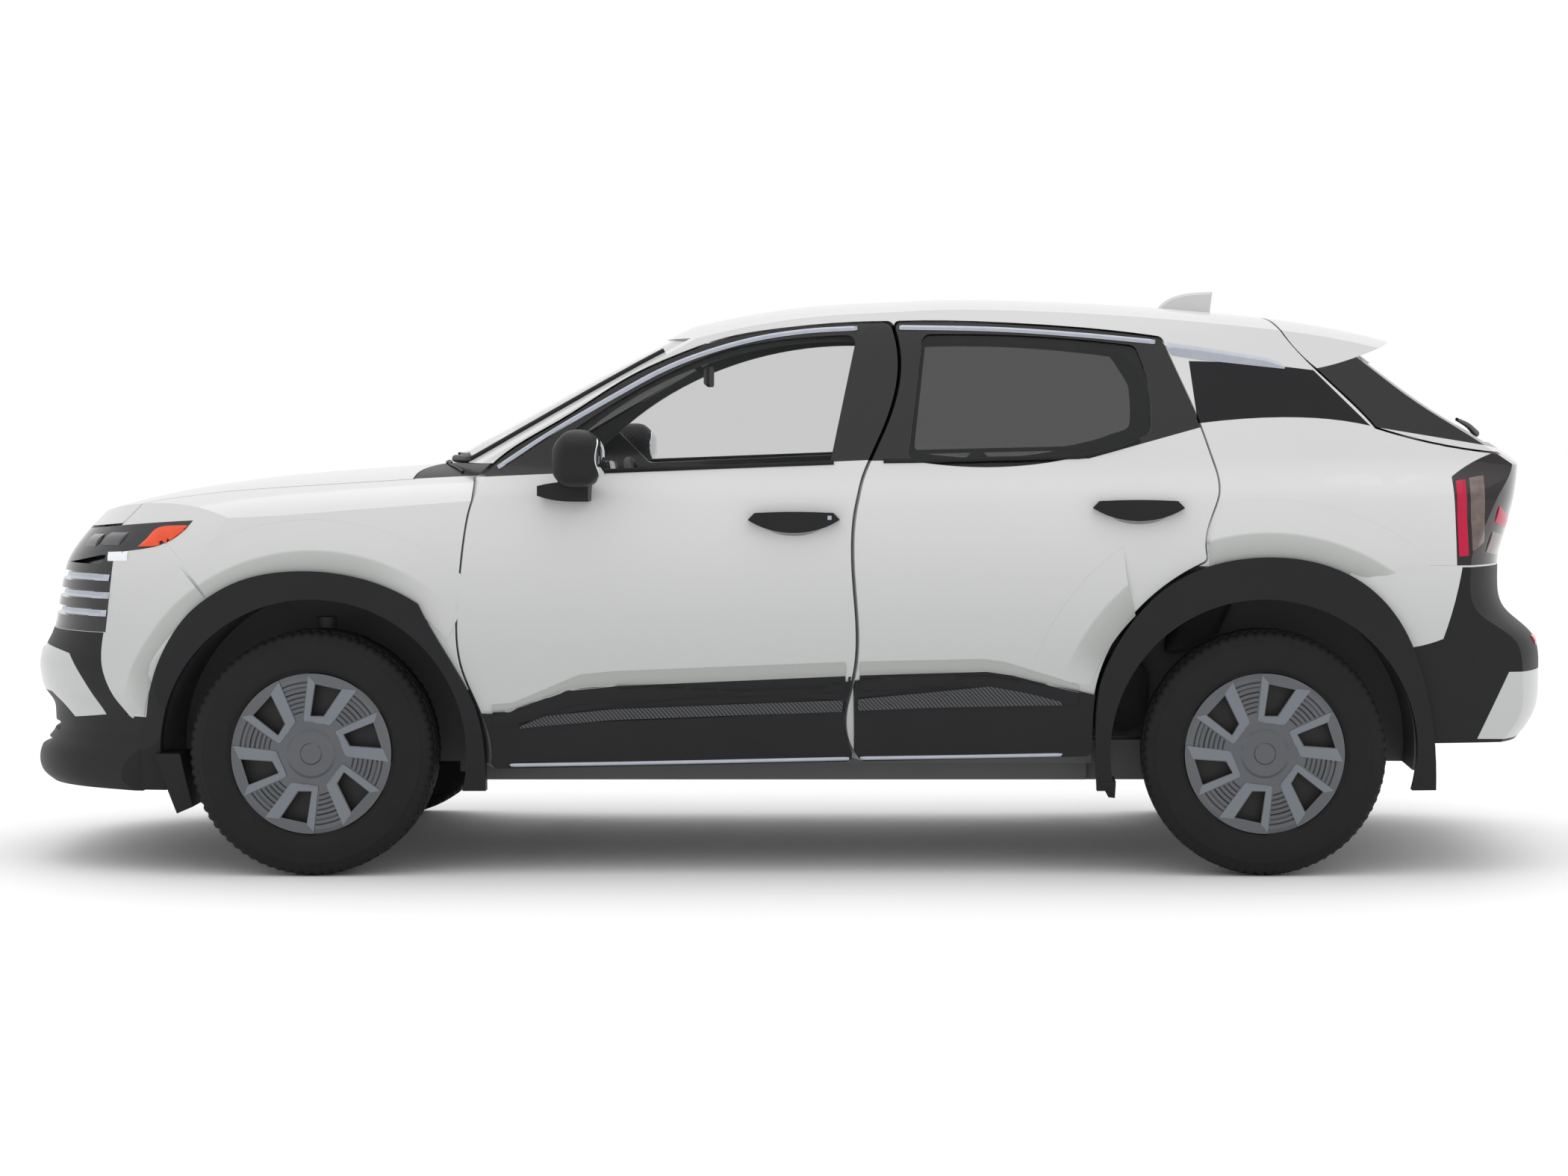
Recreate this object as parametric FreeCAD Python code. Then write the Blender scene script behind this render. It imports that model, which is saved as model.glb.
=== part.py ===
import FreeCAD, Part
import math
import os

# Compact five-door sport utility car, built as separate panels, glass, wheels and lids.
# Millimetres. X runs from the nose (negative) to the tail, Y from the driver's side
# (negative) to the passenger's side, Z upward from the ground.

os.makedirs("parts", exist_ok=True)

# Driving sizes of the whole car
wheelbase = 2657.0
front_overhang = 890.0
rear_overhang = 819.0
body_width = 1801.0
roof_height = 1625.0
belt_height = 1150.0
sill_height = 250.0

# Wheels
track_width = 1580.0
tyre_radius = 343.0
tyre_width = 215.0
rim_radius = 203.0
rim_width = 165.0
rim_flange_radius = 216.0
rim_flange_thickness = 7.0
rim_wall = 5.0
cover_radius = 223.0
cover_thickness = 4.0
cover_dome_radius = 62.0
cover_cap_radius = 28.0
cover_band_rise = 3.0
cover_rib_rise = 1.6
cover_phase_angle = 17.0
hub_radius = 60.0
spin_gap = 6.0
spigot_radius = 28.0
spigot_length = 20.0
running_gap = 0.6
king_pin_offset = 60.0
arch_radius = 430.0
liner_thickness = 6.0

# Panels
panel_gap = 6.0
seat_gap = 0.3
panel_thickness = 35.0
door_thickness = 110.0
frame_thickness = 45.0
glass_thickness = 5.0
glass_depth = 6.0
window_corner_radius = 26.0
door_corner_radius = 18.0
cladding_stand = 10.0
groove_depth = 4.0
arch_stand = 18.0
cladding_depth = 30.0
door_lean_angle = 19.8
corner_turn_angle = 32.0
roof_crown = 24.0
roof_edge_drop = 15.0
bonnet_crown = 25.0
bonnet_edge_drop = 115.0
screen_sweep = 250.0
rear_glass_sweep = 140.0
nose_sweep = 590.0
tail_sweep = 187.0

# Sizes that follow from the driving sizes
length = front_overhang + wheelbase + rear_overhang
nose_x = -length / 2
front_axle_x = nose_x + front_overhang
rear_axle_x = front_axle_x + wheelbase
tail_x = length / 2
half_width = body_width / 2
half_track = track_width / 2
reach = length + body_width
vec = FreeCAD.Vector
zero = vec(0, 0, 0)
across = vec(0, 1, 0)
upward = vec(0, 0, 1)
forward = vec(1, 0, 0)

# Shares of the outlines. The first number of a pair runs from -1 at the nose over 0 at the
# front axle and 1 at the rear axle to 2 at the tail. The second runs from 0 on the ground
# over 1 at the sill and 2 at the belt line to 3 at the roof.

front_door_shares = [
    (0.186, 1.052), (0.176, 1.239), (0.158, 1.371), (0.153, 1.493), (0.156, 1.639),
    (0.163, 1.818), (0.167, 1.872), (0.191, 2.011), (0.261, 2.263), (0.327, 2.501),
    (0.381, 2.642), (0.427, 2.733), (0.492, 2.796), (0.541, 2.823), (0.605, 2.836),
    (0.580, 1.987), (0.572, 1.903), (0.567, 1.640), (0.567, 1.341), (0.558, 1.232),
    (0.572, 1.076),
]
rear_door_shares = [
    (0.576, 1.076), (0.562, 1.232), (0.571, 1.341), (0.571, 1.640), (0.576, 1.903),
    (0.584, 1.987), (0.609, 2.836), (0.660, 2.840), (0.744, 2.823), (0.828, 2.789),
    (0.895, 2.743), (0.934, 2.232), (0.945, 2.051), (0.951, 1.972), (0.948, 1.868),
    (0.940, 1.702), (0.882, 1.594), (0.844, 1.464), (0.822, 1.301), (0.818, 1.156),
    (0.818, 1.092),
]
front_window_shares = [
    (0.307, 1.970), (0.266, 2.179), (0.330, 2.415), (0.381, 2.564), (0.427, 2.667),
    (0.492, 2.737), (0.570, 2.768), (0.543, 2.000),
]
rear_window_opening_shares = [
    (0.625, 2.017), (0.640, 2.768), (0.733, 2.764), (0.867, 2.701), (0.881, 2.457),
    (0.883, 2.179), (0.817, 2.053),
]
quarter_panel_shares = [
    (0.933, 2.236), (0.960, 2.253), (1.071, 2.272), (1.247, 2.259), (1.380, 2.221),
    (1.189, 2.552), (1.113, 2.568), (0.925, 2.606),
]
tailgate_side_shares = [
    (1.014, 3.158), (1.057, 2.874), (1.201, 2.564), (1.401, 2.215), (1.771, 2.074),
    (1.857, 2.059), (2.186, 2.059), (2.186, 3.158),
]
fender_front_shares = [
    (-0.406, 1.806), (-0.477, 1.750), (-0.328, 1.588), (-0.260, 1.389), (-1.204, 1.389),
    (-1.204, 1.722), (-0.886, 1.722), (-0.597, 1.767),
]
headlamp_shares = [
    (-0.388, 1.822), (-0.477, 1.752), (-0.633, 1.721), (-0.886, 1.674), (-1.092, 1.661),
    (-1.092, 1.750), (-0.816, 1.783), (-0.597, 1.806),
]
arch_front_outer_shares = [
    (-0.543, 0.400), (-0.532, 1.212), (-0.510, 1.313), (-0.462, 1.436), (-0.385, 1.539),
    (-0.321, 1.589), (-0.222, 1.639), (-0.067, 1.667), (0.017, 1.664), (0.068, 1.631),
    (0.112, 1.567), (0.152, 1.360), (0.172, 1.240), (0.181, 1.046), (0.181, 0.400),
]
arch_rear_outer_shares = [
    (0.822, 0.400), (0.822, 1.156), (0.826, 1.301), (0.849, 1.459), (0.882, 1.580),
    (0.931, 1.672), (0.989, 1.709), (1.178, 1.694), (1.338, 1.629), (1.471, 1.496),
    (1.529, 1.374), (1.583, 1.144), (1.583, 0.400),
]
tail_lamp_shares = [
    (1.653, 1.958), (1.795, 2.053), (2.125, 2.084), (2.125, 1.684), (1.660, 1.684),
]
front_profile_shares = [
    (-0.889, 0.400), (-0.923, 0.760), (-0.951, 0.928), (-0.993, 1.013), (-1.000, 1.064),
    (-0.946, 1.152), (-0.957, 1.247), (-0.990, 1.278), (-1.000, 1.364), (-0.979, 1.409),
    (-0.951, 1.467), (-0.934, 1.567), (-0.912, 1.670), (-0.884, 1.722), (-0.839, 1.778),
    (-0.766, 1.856), (-0.698, 1.944),
]
rear_profile_shares = [
    (1.808, 0.400), (1.857, 1.056), (1.942, 1.149), (1.985, 1.211), (1.999, 1.266),
    (2.000, 1.344), (2.000, 1.389), (1.987, 1.439), (1.924, 1.500), (1.869, 1.556),
    (1.857, 1.611), (1.857, 1.692), (1.881, 1.778), (1.918, 1.911), (1.927, 2.000),
    (1.918, 2.105), (1.893, 2.316),
]
bonnet_line_shares = [
    (-1.148, 1.611), (-0.979, 1.728), (-0.867, 1.789), (-0.811, 1.819), (-0.708, 1.861),
    (-0.607, 1.887), (-0.506, 1.908), (-0.405, 1.923), (-0.304, 1.937), (-0.103, 1.956),
    (0.033, 1.971), (0.086, 1.981), (0.142, 1.990), (0.199, 1.998),
]
screen_line_shares = [
    (0.011, 1.839), (0.086, 1.969), (0.148, 2.135), (0.214, 2.339), (0.280, 2.541),
    (0.346, 2.731), (0.425, 2.947), (0.500, 3.137),
]
roof_line_shares = [
    (0.218, 2.526), (0.274, 2.642), (0.331, 2.743), (0.371, 2.811), (0.405, 2.859),
    (0.444, 2.903), (0.481, 2.937), (0.544, 2.971), (0.610, 2.987), (0.676, 3.000),
    (0.742, 2.994), (0.807, 2.981), (0.873, 2.960), (0.972, 2.914), (1.124, 2.874),
    (1.338, 2.811), (1.478, 2.754), (1.637, 2.674),
]
rear_glass_line_shares = [
    (1.026, 3.074), (1.209, 2.884), (1.405, 2.657), (1.593, 2.417), (1.703, 2.291),
    (1.813, 2.179), (1.921, 2.057), (2.064, 1.944),
]
grille_shares = [
    (-0.685, 1.468), (-0.659, 1.756), (-1.204, 1.756), (-1.204, 1.468),
]
front_lower_shares = [
    (-0.692, 1.466), (-0.693, 1.379), (-0.594, 1.209), (-0.305, 1.209), (-0.305, 0.200),
    (-1.204, 0.200), (-1.204, 1.466),
]
chin_shares = [
    (-1.092, 1.409), (-0.889, 1.409), (-0.819, 1.396), (-0.681, 1.210), (-0.806, 1.194),
    (-0.901, 1.267), (-1.092, 1.278),
]
rear_lower_shares = [
    (1.332, 1.436), (1.539, 1.436), (1.612, 1.456), (1.661, 1.600), (1.679, 1.678),
    (2.308, 1.678), (2.308, 0.200), (1.332, 0.200),
]
rear_accent_shares = [
    (2.186, 1.350), (1.844, 1.350), (1.734, 1.142), (1.931, 1.138), (2.186, 1.138),
]
door_cladding_shares = [
    (0.176, 1.226), (0.199, 1.228), (0.269, 1.297), (0.314, 1.311), (0.565, 1.328),
    (0.565, 0.960), (0.176, 0.960),
]
rear_door_cladding_shares = [
    (0.568, 1.328), (0.718, 1.336), (0.828, 1.279), (0.828, 0.960), (0.568, 0.960),
]
inner_front_opening_shares = [
    (0.228, 1.167), (0.224, 1.411), (0.224, 1.856), (0.236, 1.967), (0.355, 2.463),
    (0.462, 2.674), (0.588, 2.716), (0.560, 1.978), (0.545, 1.633), (0.545, 1.278),
    (0.538, 1.167),
]
inner_rear_opening_shares = [
    (0.590, 1.167), (0.590, 1.278), (0.594, 1.633), (0.605, 1.978), (0.630, 2.716),
    (0.733, 2.716), (0.858, 2.653), (0.906, 2.105), (0.914, 1.833), (0.869, 1.633),
    (0.824, 1.478), (0.801, 1.278), (0.797, 1.167),
]
inner_ring_shares = [
    (0.135, 1.056), (0.135, 1.280), (0.200, 1.280), (0.200, 1.960), (0.222, 2.100), (0.319, 2.510),
    (0.425, 2.768),
    (0.613, 2.842), (0.801, 2.832), (0.922, 2.737), (0.974, 2.105), (0.974, 1.722),
    (0.895, 1.678), (0.846, 1.500), (0.824, 1.278), (0.820, 1.056),
]
seat_shares = [
    (0.444, 1.300), (0.451, 1.167), (0.624, 1.122), (0.651, 1.233), (0.707, 1.811),
    (0.720, 2.042), (0.696, 2.084), (0.677, 1.856), (0.658, 1.822), (0.613, 1.389),
    (0.590, 1.344), (0.470, 1.389),
]
bench_shares = [
    (0.756, 1.278), (0.763, 1.144), (0.880, 1.144), (0.882, 1.356), (0.952, 1.400),
    (1.112, 1.856), (1.100, 1.944), (0.997, 1.911), (0.914, 1.422), (0.884, 1.389),
    (0.771, 1.389),
]
dashboard_shares = [
    (0.139, 1.911), (0.199, 1.931), (0.267, 1.922), (0.301, 1.856), (0.293, 1.744),
    (0.252, 1.611), (0.229, 1.333), (0.161, 1.278), (0.139, 1.389),
]
engine_shares = [
    (-0.507, 1.122), (-0.507, 1.678), (0.048, 1.722), (0.048, 1.122),
]
# Half width of the body over its height, as shares of half the body width
side_section_shares = [
    (0.400, 0.900), (1.000, 0.925), (1.222, 0.960), (1.389, 0.974), (1.556, 0.979),
    (1.722, 0.975), (1.833, 0.962), (1.900, 0.945), (1.944, 0.915), (2.000, 0.885),
    (2.211, 0.842), (2.421, 0.795), (2.632, 0.745), (2.800, 0.700), (2.947, 0.650),
    (3.263, 0.550),
]
spoiler_shares = [
    (1.016, 3.158), (1.058, 2.874), (1.202, 2.564), (1.307, 2.611),
    (1.454, 2.707), (1.496, 2.737), (1.496, 3.158),
]

fin_shares = [
    (0.9031, 2.940), (0.9100, 2.985), (0.9336, 3.040), (0.9656, 3.055), (0.9622, 2.900),
    (0.9031, 2.900),
]
front_groove_shares = [
    (0.2140, 1.193), (0.2516, 1.218), (0.5602, 1.267), (0.5602, 1.236), (0.2516, 1.196),
]
rear_groove_shares = [
    (0.5735, 1.275), (0.6807, 1.322), (0.6931, 1.301), (0.5783, 1.241),
]
# The bowed bar of a door handle, as shares of its length and height
handle_bar_shares = [
    (-0.50, -0.10), (-0.43, 0.42), (-0.20, 0.50), (0.20, 0.50), (0.43, 0.42), (0.50, -0.10),
    (0.40, -0.50), (-0.40, -0.50),
]
# One spoke frame of a wheel cover and its window, as shares of the cover's radius
cover_band_shares = [(1.000, 0.262), (0.368, 0.179), (0.404, -0.157), (1.000, -0.425)]
cover_window_shares = [(0.857, 0.143), (0.460, 0.110), (0.496, -0.047), (0.861, -0.188)]
lower_plan_shares = [
    (-1.25, 0.82), (-1.10, 0.86), (-0.90, 0.88), (-0.75, 0.905), (-0.60, 0.942), (-0.45, 0.967),
    (-0.30, 0.985), (-0.15, 0.996), (0.0, 1.0), (0.30, 0.998), (0.70, 0.998), (1.0, 1.004),
    (1.30, 0.998), (1.55, 0.978), (1.75, 0.945), (1.95, 0.89), (2.20, 0.80),
]
upper_plan_shares = [
    (-1.25, 0.78), (-0.60, 0.90), (-0.20, 0.93), (0.10, 0.945), (0.20, 0.972), (0.32, 0.99),
    (0.55, 1.0), (0.80, 0.995), (1.0, 0.975), (1.20, 0.955), (1.50, 0.93), (1.80, 0.90), (2.20, 0.84),
]


# Helpers that turn shares into millimetres
def along(share):
    if share < 0:
        return front_axle_x + share * front_overhang
    if share <= 1:
        return front_axle_x + share * wheelbase
    return rear_axle_x + (share - 1) * rear_overhang


def up(share):
    if share < 1:
        return share * sill_height
    if share < 2:
        return sill_height + (share - 1) * (belt_height - sill_height)
    return belt_height + (share - 2) * (roof_height - belt_height)


def placed(shares):
    return [(along(first), up(second)) for first, second in shares]


def blend(table, place):
    """Smooth value between the rows of a table, without overshoot."""
    if place <= table[0][0]:
        slope = (table[1][1] - table[0][1]) / (table[1][0] - table[0][0])
        return table[0][1] + slope * (place - table[0][0])
    if place >= table[-1][0]:
        slope = (table[-1][1] - table[-2][1]) / (table[-1][0] - table[-2][0])
        return table[-1][1] + slope * (place - table[-1][0])
    row = 0
    while table[row + 1][0] < place:
        row += 1
    slopes = []
    for item in (row, row + 1):
        before = table[max(item - 1, 0)]
        here = table[item]
        after = table[min(item + 1, len(table) - 1)]
        left = (here[1] - before[1]) / (here[0] - before[0]) if item > 0 else None
        right = (after[1] - here[1]) / (after[0] - here[0]) if item < len(table) - 1 else None
        if left is None:
            slopes.append(right)
        elif right is None:
            slopes.append(left)
        elif left * right <= 0:
            slopes.append(0)
        else:
            slopes.append(2 * left * right / (left + right))
    step = table[row + 1][0] - table[row][0]
    share = (place - table[row][0]) / step
    start = table[row][1]
    end = table[row + 1][1]
    rest = 1 - share
    value = start * rest * rest * (1 + 2 * share) + end * share * share * (3 - 2 * share)
    value += step * share * rest * (slopes[0] * rest - slopes[1] * share)
    return value


section_table = [(up(first), half_width * second) for first, second in side_section_shares]
lower_plan_table = [(along(first), second) for first, second in lower_plan_shares]
upper_plan_table = [(along(first), second) for first, second in upper_plan_shares]
front_table = [(up(second), along(first)) for first, second in front_profile_shares]
rear_table = [(up(second), along(first)) for first, second in rear_profile_shares]
bonnet_table = placed(bonnet_line_shares)
screen_table = placed(screen_line_shares)
roof_table = placed(roof_line_shares)
rear_glass_table = placed(rear_glass_line_shares)
shoulder_low_share = 1.90
shoulder_high_share = 2.05
shoulder_low = up(shoulder_low_share)
shoulder_high = up(shoulder_high_share)

# Shares that carry the forming surfaces past the body on every side
nose_margin_share = 1.12
tail_margin_share = 1.10
width_margin_share = 1.1
side_reach_share = 1.2
depth_margin_share = 1.6
side_low_share = 0.3
side_high_share = 3.25
end_low_share = 0.4
nose_top_share = 2.6
tail_top_share = 3.35
side_columns = 40
side_rows = 34
end_columns = 18
top_columns = 16
sheet_half = half_width * width_margin_share


def side_at(x, z):
    """Half width of the skin at a station and height."""
    share = min(max((z - shoulder_low) / (shoulder_high - shoulder_low), 0), 1)
    share = share * share * (3 - 2 * share)
    plan = blend(lower_plan_table, x) * (1 - share) + blend(upper_plan_table, x) * share
    return blend(section_table, z) * plan


def wall_at(z):
    """Thickness of door or side wall: deep below the belt, slim beside the glass."""
    share = min(max((z - shoulder_low) / (shoulder_high - shoulder_low), 0), 1)
    share = share * share * (3 - 2 * share)
    return door_thickness * (1 - share) + frame_thickness * share


def steps(low, high, count):
    return [low + (high - low) * item / count for item in range(count + 1)]


def surface(rows):
    sheet = Part.BSplineSurface()
    sheet.interpolate(rows)
    return sheet.toShape()


def side_face(extra_depth, walls):
    """Left flank, drawn in by a fixed depth and some walls."""
    stations = steps(nose_x * nose_margin_share, tail_x * tail_margin_share, side_columns)
    heights = steps(up(side_low_share), up(side_high_share), side_rows)
    rows = []
    for x in stations:
        row = []
        for z in heights:
            row.append(vec(x, -side_at(x, z) + extra_depth + walls * wall_at(z), z))
        rows.append(row)
    return surface(rows)


def both_sides(left_face):
    left = left_face.extrude(across * (body_width * side_reach_share))
    right = left.mirror(zero, across)
    return left.common(right)


def top_face(height_of, low_x, high_x, columns, drop):
    """Roof-like surface between two stations."""
    rows = []
    for x in steps(low_x, high_x, columns):
        rows.append([vec(x, y, height_of(x, y) - drop) for y in steps(-sheet_half, sheet_half, top_columns)])
    return surface(rows)


def below(face):
    return face.extrude(upward * (-roof_height * depth_margin_share))


def end_block(place_of, drop, way, top):
    """Everything behind the nose surface, or in front of the tail surface."""
    rows = []
    for y in steps(-sheet_half, sheet_half, end_columns):
        rows.append([vec(place_of(y, z) + way * drop, y, z)
                     for z in steps(up(end_low_share), top, side_rows)])
    return surface(rows).extrude(forward * (way * reach))


roof_crown_share = 0.61
roof_edge_share = 0.69


def bonnet_at(x, y):
    share = abs(y) / half_width
    return blend(bonnet_table, x) - bonnet_crown * share ** 2 - bonnet_edge_drop * share ** 8


def screen_at(x, y):
    return blend(screen_table, x - screen_sweep * (y / half_width) ** 2)


def roof_at(x, y):
    share = abs(y) / half_width
    drop = roof_crown * (share / roof_crown_share) ** 2 + roof_edge_drop * (share / roof_edge_share) ** 8
    return blend(roof_table, x) - drop


def rear_glass_at(x, y):
    return blend(rear_glass_table, x + rear_glass_sweep * (y / half_width) ** 2)


def nose_at(y, z):
    return blend(front_table, z) + nose_sweep * (abs(y) / half_width) ** 4


def tail_at(y, z):
    return blend(rear_table, z) - tail_sweep * (abs(y) / half_width) ** 6


narrowest_share = 0.4


def grown(points, amount):
    """Outline moved outward by an amount, corner by corner."""
    count = len(points)
    area = 0
    for item in range(count):
        here = points[item]
        after = points[(item + 1) % count]
        area += here[0] * after[1] - after[0] * here[1]
    turn = 1 if area > 0 else -1
    result = []
    for item in range(count):
        before = points[item - 1]
        here = points[item]
        after = points[(item + 1) % count]
        first = vec(here[0] - before[0], here[1] - before[1], 0)
        second = vec(after[0] - here[0], after[1] - here[1], 0)
        first.normalize()
        second.normalize()
        out_first = vec(first.y * turn, -first.x * turn, 0)
        out_second = vec(second.y * turn, -second.x * turn, 0)
        middle = out_first + out_second
        middle.normalize()
        spread = max(middle.dot(out_first), narrowest_share)
        result.append((here[0] + middle.x * amount / spread, here[1] + middle.y * amount / spread))
    return result


def outline_wire(corners):
    """Closed wire through points: gentle bends become curves, sharp corners stay."""
    count = len(corners)
    sharp = []
    for item in range(count):
        first = corners[item] - corners[item - 1]
        second = corners[(item + 1) % count] - corners[item]
        if math.degrees(first.getAngle(second)) > corner_turn_angle:
            sharp.append(item)
    edges = []
    for number, start in enumerate(sharp):
        end = sharp[(number + 1) % len(sharp)]
        if end <= start:
            end += count
        run = [corners[item % count] for item in range(start, end + 1)]
        if len(run) == 2:
            edges.append(Part.LineSegment(run[0], run[1]).toShape())
        else:
            curve = Part.BSplineCurve()
            curve.interpolate(Points=run)
            edges.append(curve.toShape())
    return Part.Wire(edges)


def polygon(corners, direction, corner_radius=0):
    """Prism over an outline, with its sharp corners rounded off by a radius."""
    prism = Part.Face(outline_wire(corners)).extrude(direction)
    if corner_radius > 0:
        found = []
        for edge in prism.Edges:
            run = edge.Vertexes[-1].Point - edge.Vertexes[0].Point
            if run.Length > 0 and run.cross(direction).Length < run.Length * seat_gap:
                found.append(edge)
        prism = prism.makeFillet(corner_radius, found)
    return prism


def side_prism(points, inner=0, outer=None, corner_radius=0):
    """Prism across the left half, from the inner to the outer distance off the middle."""
    outer = body_width if outer is None else outer
    corners = [vec(x, -outer, z) for x, z in points]
    return polygon(corners, across * (outer - inner), corner_radius)


def through_prism(points):
    corners = [vec(x, -body_width, z) for x, z in points]
    return polygon(corners, across * (body_width * 2))


def leaning_prism(points, corner_radius=0):
    """Door outline carried inward while it leans forward, so that the door can swing out."""
    lean = math.tan(math.radians(door_lean_angle))
    corners = []
    for x, z in points:
        corners.append(vec(x + lean * (body_width - side_at(x, z)), -body_width, z))
    return polygon(corners, vec(-lean * body_width, body_width, 0), corner_radius)


def front_prism(points, low_x, high_x):
    corners = [vec(low_x, y, z) for y, z in points]
    return polygon(corners, forward * (high_x - low_x))


def plan_prism(points, low_z, high_z):
    corners = [vec(x, y, low_z) for x, y in points]
    return polygon(corners, upward * (high_z - low_z))


def box(low, high):
    return Part.makeBox(high[0] - low[0], high[1] - low[1], high[2] - low[2], vec(low[0], low[1], low[2]))


def cylinder(radius, width, centre_x, low_y, centre_z):
    return Part.makeCylinder(radius, width, vec(centre_x, low_y, centre_z), across)


def mirrored(shape):
    return shape.mirror(zero, across)


def both(shape):
    return Part.makeCompound(solids_of(shape) + solids_of(mirrored(shape)))


def solids_of(shape):
    return [item for item in shape.Solids if item.Volume > speck_volume]


def save(name, shape):
    found = solids_of(shape)
    if len(found) == 0:
        raise ValueError("no solid in " + name)
    result = found[0] if len(found) == 1 else Part.makeCompound(found)
    result.exportStep("parts/" + name + ".step")
    print(name, len(found), round(result.Volume / 1000), [round(item) for item in (
        result.BoundBox.XMin, result.BoundBox.XMax, result.BoundBox.YMin, result.BoundBox.YMax,
        result.BoundBox.ZMin, result.BoundBox.ZMax)], result.isValid(), flush=True)


# Specks left by cuts are smaller than this many seat gaps along each side
speck_count = 40
speck_volume = (seat_gap * speck_count) ** 3

# Body volumes: a front one under the bonnet and a main one under screen, roof and rear glass
tail_wall_share = 1.6
screen_wall_share = 1.15
bonnet_end_share = 0.25
screen_face_start_share = -0.1
screen_face_end_share = 0.60
roof_face_start_share = 0.16
roof_face_end_share = 1.75
rear_face_start_share = 0.98
rear_face_end_share = 2.2
bonnet_columns = 30
screen_columns = 12
roof_columns = 26
rear_columns = 14
tail_wall = panel_thickness * tail_wall_share
bonnet_start = nose_x * tail_margin_share
bonnet_end = along(bonnet_end_share)
skin = side_face(0, 0)
flanks = both_sides(skin)
inner_flanks = both_sides(side_face(0, 1))
thin_flanks = both_sides(side_face(panel_thickness, 0))
nose = end_block(nose_at, 0, 1, up(nose_top_share))
inner_nose = end_block(nose_at, panel_thickness, 1, up(nose_top_share))
tail = end_block(tail_at, 0, -1, up(tail_top_share))
inner_tail = end_block(tail_at, tail_wall, -1, up(tail_top_share))
bonnet_top = below(top_face(bonnet_at, bonnet_start, bonnet_end, bonnet_columns, 0))
inner_bonnet_top = below(top_face(bonnet_at, bonnet_start, bonnet_end, bonnet_columns,
                                  panel_thickness))
screen_face = top_face(screen_at, along(screen_face_start_share), along(screen_face_end_share),
                       screen_columns, 0)
screen_top = below(screen_face)
roof_top = below(top_face(roof_at, along(roof_face_start_share), along(roof_face_end_share),
                          roof_columns, 0))
rear_face = top_face(rear_glass_at, along(rear_face_start_share), along(rear_face_end_share),
                     rear_columns, 0)
rear_top = below(rear_face)
drop_vector = upward * -frame_thickness
screen_drop = upward * (-frame_thickness * screen_wall_share)
print("surfaces", flush=True)

front_body = flanks.common(nose).common(bonnet_top)
front_core = thin_flanks.common(inner_nose).common(inner_bonnet_top)
front_shell = front_body.cut(front_core)
print("front shell", front_shell.isValid(), len(front_shell.Solids), flush=True)

# The roof-like surfaces only span their own stations, so blocks fill the rest
low_end_share = 0.18
fore_end_share = 0.5
middle_end_share = 1.06
aft_end_share = 1.74
last_end_share = 2.05
body_low_share = 0.8
core_low_share = 0.5
body_start_share = -0.01
core_start_share = -0.05


def main_volume(sides, screen, roof, rear, end, low_z, front_x):
    def block(start_x, end_x):
        return box((start_x, -half_width, low_z), (end_x, half_width, roof_height))

    low_end = along(low_end_share)
    fore_end = along(fore_end_share)
    middle_end = along(middle_end_share)
    aft_end = along(aft_end_share)
    low_start = block(front_x, low_end).common(screen)
    fore = low_start.fuse(block(low_end, fore_end).common(screen).common(roof))
    middle = block(fore_end, middle_end).common(roof)
    aft = block(middle_end, aft_end).common(roof).common(rear)
    last = block(aft_end, along(last_end_share)).common(rear)
    body = fore.fuse([middle, aft, last])
    return body.removeSplitter().common(sides).common(end)


main_body = main_volume(flanks, screen_top, roof_top, rear_top, tail, up(body_low_share),
                        along(body_start_share))
roof_inner = roof_top.translated(drop_vector)
main_core = main_volume(inner_flanks, screen_top.translated(screen_drop), roof_inner,
                        rear_top.translated(screen_drop), inner_tail, up(core_low_share),
                        along(core_start_share))
main_shell = main_body.cut(main_core)
print("main shell", main_shell.isValid(), len(main_shell.Solids), flush=True)

# Outlines in millimetres
front_door_line = placed(front_door_shares)
rear_door_line = placed(rear_door_shares)
headlamp_line = placed(headlamp_shares)
tail_lamp_line = placed(tail_lamp_shares)
quarter_line = placed(quarter_panel_shares)
front_arch_line = placed(arch_front_outer_shares)
rear_arch_line = placed(arch_rear_outer_shares)
fender_front_line = placed(fender_front_shares)
grille_line = placed(grille_shares)
front_lower_line = placed(front_lower_shares)
chin_line = placed(chin_shares)
rear_lower_line = placed(rear_lower_shares)
rear_accent_line = placed(rear_accent_shares)
spoiler_line = placed(spoiler_shares)
tail_line = placed(tailgate_side_shares)

# Widths across the car, as shares of half the body width
panel_inner_share = 0.30
lamp_inner_share = 0.40
tail_lamp_inner_share = 0.69
overrun_share = 1.10
lamp_inner = half_width * lamp_inner_share
tail_lamp_inner = half_width * tail_lamp_inner_share
panel_inner = half_width * panel_inner_share
tailgate_half = tail_lamp_inner - panel_gap
front_limit = nose_x * overrun_share
rear_limit = tail_x * overrun_share
left_outward = across * -1

ring_gap = 20.0
door_zone = side_face(ring_gap, 1).extrude(across * -half_width)
front_door_space = leaning_prism(grown(front_door_line, panel_gap), door_corner_radius).common(door_zone)
rear_door_space = leaning_prism(grown(rear_door_line, panel_gap), door_corner_radius).common(door_zone)
door_spaces = [front_door_space, rear_door_space]
door_spaces += [mirrored(front_door_space), mirrored(rear_door_space)]


def side_pair(points, inner):
    left = side_prism(points, inner)
    return [left, mirrored(left)]


def slab(start_share, end_share, half, low_z, high_z):
    """Block across the car between two stations, with the same half width each side."""
    return box((along(start_share), -half, low_z), (along(end_share), half, high_z))


# Wall of both flanks, from the skin to the inner face of the doors
door_wall = flanks.cut(inner_flanks)


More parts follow.
